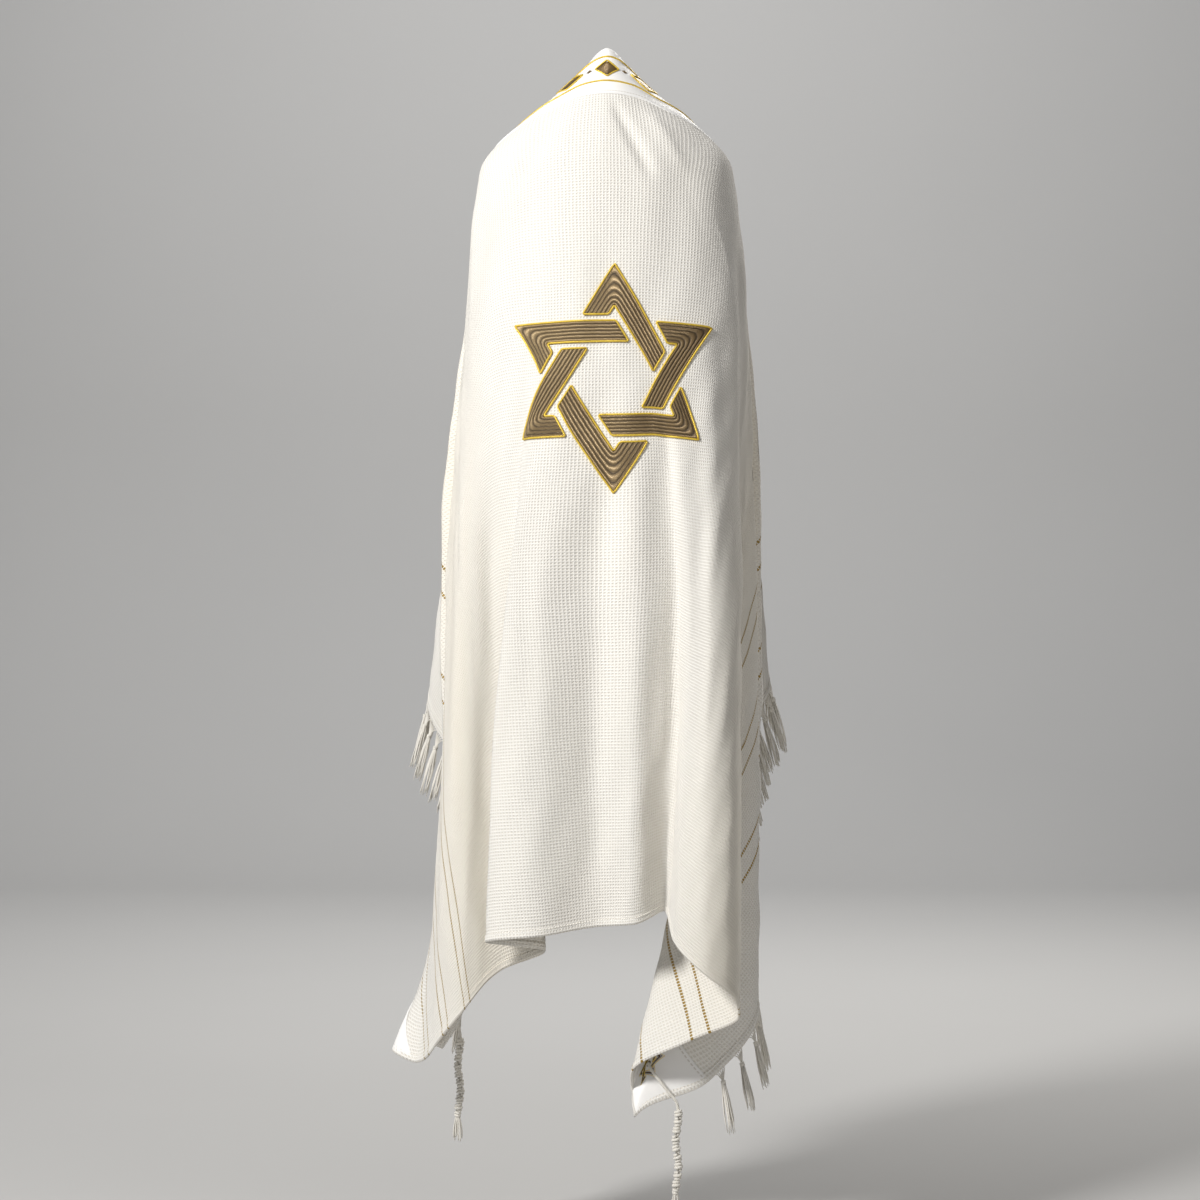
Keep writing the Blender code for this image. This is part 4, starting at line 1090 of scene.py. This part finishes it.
def corner_tassel(name, side, at_hem, material, seed):
    """Cords through the eyelet, tied over the edge, then wound and knotted, with loose ends."""
    draw = random.Random(seed)
    middle = cord_path(side, at_hem)
    bundle = Bundle()
    for ply in range(PLIES):
        points, radii = [], []
        for index, point in enumerate(middle):
            turn = index * PLY_TURN + ply * 2 * math.pi / PLIES
            side_way, deep_way = frame_across(middle, index)
            points.append(point + (side_way * math.cos(turn) + deep_way * math.sin(turn)) * PLY_OUT)
            radii.append(PLY_RADIUS + draw.uniform(-0.0001, 0.0001))
        bundle.add(tube(points, radii, 5))
    over_edge = int(len(middle) * CORD_BARE[0])
    first_knot = over_edge + int((len(middle) - over_edge) * CORD_BARE[1])
    spacing = (len(middle) - first_knot) / KNOTS_A_CORD
    for knot in range(KNOTS_A_CORD):
        index = min(int(first_knot + spacing * knot), len(middle) - 2)
        side_way, deep_way = frame_across(middle, index)
        if knot % 2:
            side_way, deep_way = deep_way, -side_way
        heading = unit(middle[index + 1] - middle[index - 1])
        bundle.add(knot_shape(middle[index], side_way, deep_way, heading, CORD_KNOT))
    end = middle[-1]
    bundle.add(knot_shape(end, *np.diag((1.0, 1.0, -1.0)), END_KNOT))
    for loose in range(LOOSE_ENDS):
        turn = 2 * math.pi * loose / LOOSE_ENDS + draw.uniform(-0.3, 0.3)
        way = np.array((math.cos(turn), math.sin(turn), 0.0))
        length = LOOSE_DROP * draw.uniform(0.80, 1.0)
        strand = [end + way * (0.0014 + 0.0052 * math.sin(t * 1.9)) + np.array((0, 0, -length * t))
                  for t in np.linspace(0, 1, len(LOOSE_RADII))]
        bundle.add(tube(strand, LOOSE_RADII, 5))
    return bundle.piece(name, material, "fringe_yarn")


def resample(path, step):
    """Points at even spacing on a smooth curve through a path."""
    path = np.array(path)
    lengths = np.concatenate(([0.0], np.cumsum(np.linalg.norm(np.diff(path, axis=0), axis=1))))
    at = np.linspace(0, lengths[-1], int(lengths[-1] / step) + 1)
    line = np.column_stack([np.interp(at, lengths, path[:, k]) for k in range(3)])
    kernel = np.ones(5) / 5
    for _ in range(2):
        padded = np.pad(line, ((2, 2), (0, 0)), mode="edge")
        line = np.column_stack([np.convolve(padded[:, k], kernel, "valid") for k in range(3)])
    return line


def frame_across(points, index):
    """Two ways at right angles to a path at one of its points."""
    low, high = max(index - 1, 0), min(index + 1, len(points) - 1)
    heading = unit(points[high] - points[low])
    side_way = unit(np.cross(heading, (0.0, 1.0, 0.12)))
    return side_way, np.cross(heading, side_way)


def eyelet(name, side, at_hem, material):
    """A small stitched ring round the hole in a corner patch."""
    across, down = hole_place(side, at_hem)
    turns = np.linspace(0, 2 * math.pi, 17)
    ring = laid_cord(across + EYELET_RADIUS * np.cos(turns),
                     down + EYELET_RADIUS * np.sin(turns), EYELET_LIFT, EYELET_THREAD)
    return Bundle(ring).piece(name, material, "gold_embroidery")


# ---- studio ----

FLOOR_Z = -1.66
FLOOR_FRONT, FLOOR_HALF = -7.0, 8.0
SWEEP_Y, SWEEP_BEND = 4.8, 1.5   # where the floor starts to curve up, and its radius
SWEEP_STEPS = 12
WALL_TOP = 6.0
BACKDROP_TONE = (0.50, 0.495, 0.485)
WORLD_TONE, WORLD_STRENGTH = (0.93, 0.95, 1.0, 1.0), 0.20
VIEW_PLACE = Vector((-0.010, -4.40, -0.66))
VIEW_TARGET = Vector((-0.010, -0.10, -0.717))
VIEW_WIDTH = 1.704         # real width of the picture at the target's depth

Lamp = namedtuple("Lamp", "name place size power colour target")
BODY_MIDDLE = (0.0, 0.0, -0.65)
LAMPS = (
    Lamp("key", (-2.4, -2.6, 1.4), 0.8, 190.0, (1.0, 0.99, 0.975), BODY_MIDDLE),
    Lamp("fill", (2.8, -2.6, 0.2), 2.0, 15.0, (1.0, 0.93, 0.84), BODY_MIDDLE),
    Lamp("back", (1.4, 2.6, 1.9), 1.6, 70.0, (1.0, 0.97, 0.92), BODY_MIDDLE),
    Lamp("backdrop", (0.0, 2.4, 2.4), 2.5, 115.0, (1.0, 1.0, 1.0), (0.0, 6.3, 0.2)),
)


def backdrop_material():
    """Faintly clouded matt paper."""
    m = Nodes("pale_backdrop")
    shade = rgba(*(c * 0.96 for c in BACKDROP_TONE))
    return m.finish(m.mix(m.noise(m.place()[0], 1.2), rgba(*BACKDROP_TONE), shade), 0.85)


def make_backdrop():
    """A pale floor that curves up into a wall."""
    rows = [(FLOOR_FRONT, 0.0), (SWEEP_Y, 0.0)]
    for turn in np.linspace(0, math.pi / 2, SWEEP_STEPS + 1)[1:]:
        rows.append((SWEEP_Y + SWEEP_BEND * math.sin(turn), SWEEP_BEND * (1 - math.cos(turn))))
    rows.append((SWEEP_Y + SWEEP_BEND, WALL_TOP))
    points, faces = [], []
    for y, rise in rows:
        points += [(-FLOOR_HALF, y, FLOOR_Z + rise), (FLOOR_HALF, y, FLOOR_Z + rise)]
    for a in range(0, 2 * len(rows) - 2, 2):
        faces.append((a, a + 1, a + 3, a + 2))
    mesh = bpy.data.meshes.new("studio_sweep")
    mesh.from_pydata(points, [], faces)
    mesh.shade_smooth()
    sweep = bpy.data.objects.new("studio_sweep", mesh)
    bpy.context.scene.collection.objects.link(sweep)
    mesh.materials.append(backdrop_material())


def aim(obj, place, target):
    """Stands a lamp or a camera at a place and turns it to its target."""
    obj.location = place
    obj.rotation_euler = (Vector(target) - Vector(place)).to_track_quat("-Z", "Y").to_euler()
    bpy.context.scene.collection.objects.link(obj)


def make_lights():
    """Soft lamps and a dim world round the object."""
    bpy.context.scene.view_settings.view_transform = "Standard"
    world = bpy.data.worlds.new("studio_world")
    bpy.context.scene.world = world
    world.use_nodes = True
    background = world.node_tree.nodes["Background"].inputs
    background["Color"].default_value = WORLD_TONE
    background["Strength"].default_value = WORLD_STRENGTH
    for lamp in LAMPS:
        data = bpy.data.lights.new(lamp.name, "AREA")
        data.shape = "DISK"
        data.size = lamp.size
        data.energy = lamp.power
        data.color = lamp.colour
        aim(bpy.data.objects.new(lamp.name, data), lamp.place, lamp.target)


def make_camera():
    """The camera that takes the picture."""
    data = bpy.data.cameras.new("view")
    data.sensor_width = 36.0
    data.lens = data.sensor_width * (VIEW_TARGET - VIEW_PLACE).length / VIEW_WIDTH
    camera = bpy.data.objects.new("view", data)
    aim(camera, VIEW_PLACE, VIEW_TARGET)
    bpy.context.scene.camera = camera


# ---- the whole ----

def hem_pieces(material):
    """The three hems: along the bottom and up the two ends."""
    reach = HALF_WIDTH - HEM_START
    hems = [hem("hem_bottom", -reach, reach, material)]
    for name, side in (("left", -1), ("right", 1)):
        hems.append(hem("hem_end_" + name, side * (HALF_WIDTH + HEM_START),
                        side * (EDGE_END - HEM_START), material))
    return hems


def neckband_pieces(stitch, gold):
    """The satin neckband and its border."""
    satin = satin_material("neckband_satin", BAND_WIDTH - SEAM_INSET)
    band = laid_patch("satin_neckband", (-BAND_HALF_LENGTH, 0.0),
                      (BAND_HALF_LENGTH, BAND_WIDTH), BAND_FACING, satin)
    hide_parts("neckband")
    return [band] + band_ornament(stitch, gold)


def corner_pieces(bronze, gold):
    """The four satin corner patches, each with a star and an eyelet."""
    satin = satin_material("patch_satin", LENGTH - PATCH_SIDE + SEAM_INSET)
    dark = eyelet_material()
    pieces = []
    for name, side, at_hem in CORNERS:
        near, far = sorted((side * (HALF_WIDTH - PATCH_SIDE), side * HALF_WIDTH))
        low, high = (LENGTH - PATCH_SIDE, LENGTH) if at_hem else (0.0, PATCH_SIDE)
        patch = laid_patch("satin_patch_" + name, (near, low), (far, high), PATCH_FACING, satin)
        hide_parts("corner_patch_" + name)
        pieces.append(patch)
        pieces += star("patch_star_" + name, hole_place(side, at_hem), PATCH_STAR, (bronze, gold))
        pieces.append(eyelet("eyelet_" + name, side, at_hem, dark))
    return pieces


def back_star_pieces(bronze, gold):
    """The large star in the middle of the back."""
    pieces = star("back_star", (STAR_ACROSS, STAR_DOWN), BACK_STAR, (bronze, gold))
    for point in range(6):
        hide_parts("back_star_%d" % (point + 1))
    return pieces


def yarn_pieces(material):
    """The fringe of both ends and the four corner tassels."""
    pieces = []
    for seed, (name, side) in enumerate((("left", -1), ("right", 1)), FRINGE_SEED):
        tassels = fringe("knotted_fringe_" + name, side, material, seed)
        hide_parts("fringe_" + name)
        pieces.append(tassels)
    for seed, (name, side, at_hem) in enumerate(CORNERS, CORD_SEED):
        cord = corner_tassel("corner_cords_" + name, side, at_hem, material, seed)
        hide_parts("tzitzit_" + name)
        pieces.append(cord)
    return pieces


def main():
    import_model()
    make_camera()
    make_backdrop()
    make_lights()
    woven = woven_material()
    bronze = row_stitch_material()
    border = stitch_material("border_stitch", BORDER_DARK, BORDER_LIGHT, BORDER_PITCH, 0.45)
    gold = stitch_material("gold_cord", GOLD_DARK, GOLD_LIGHT, GOLD_PITCH, 0.35)

    cloth = cloth_piece(woven)
    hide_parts("cloth")
    others = hem_pieces(woven) + neckband_pieces(border, gold) + corner_pieces(bronze, gold)
    others += back_star_pieces(bronze, gold) + yarn_pieces(yarn_material())


main()
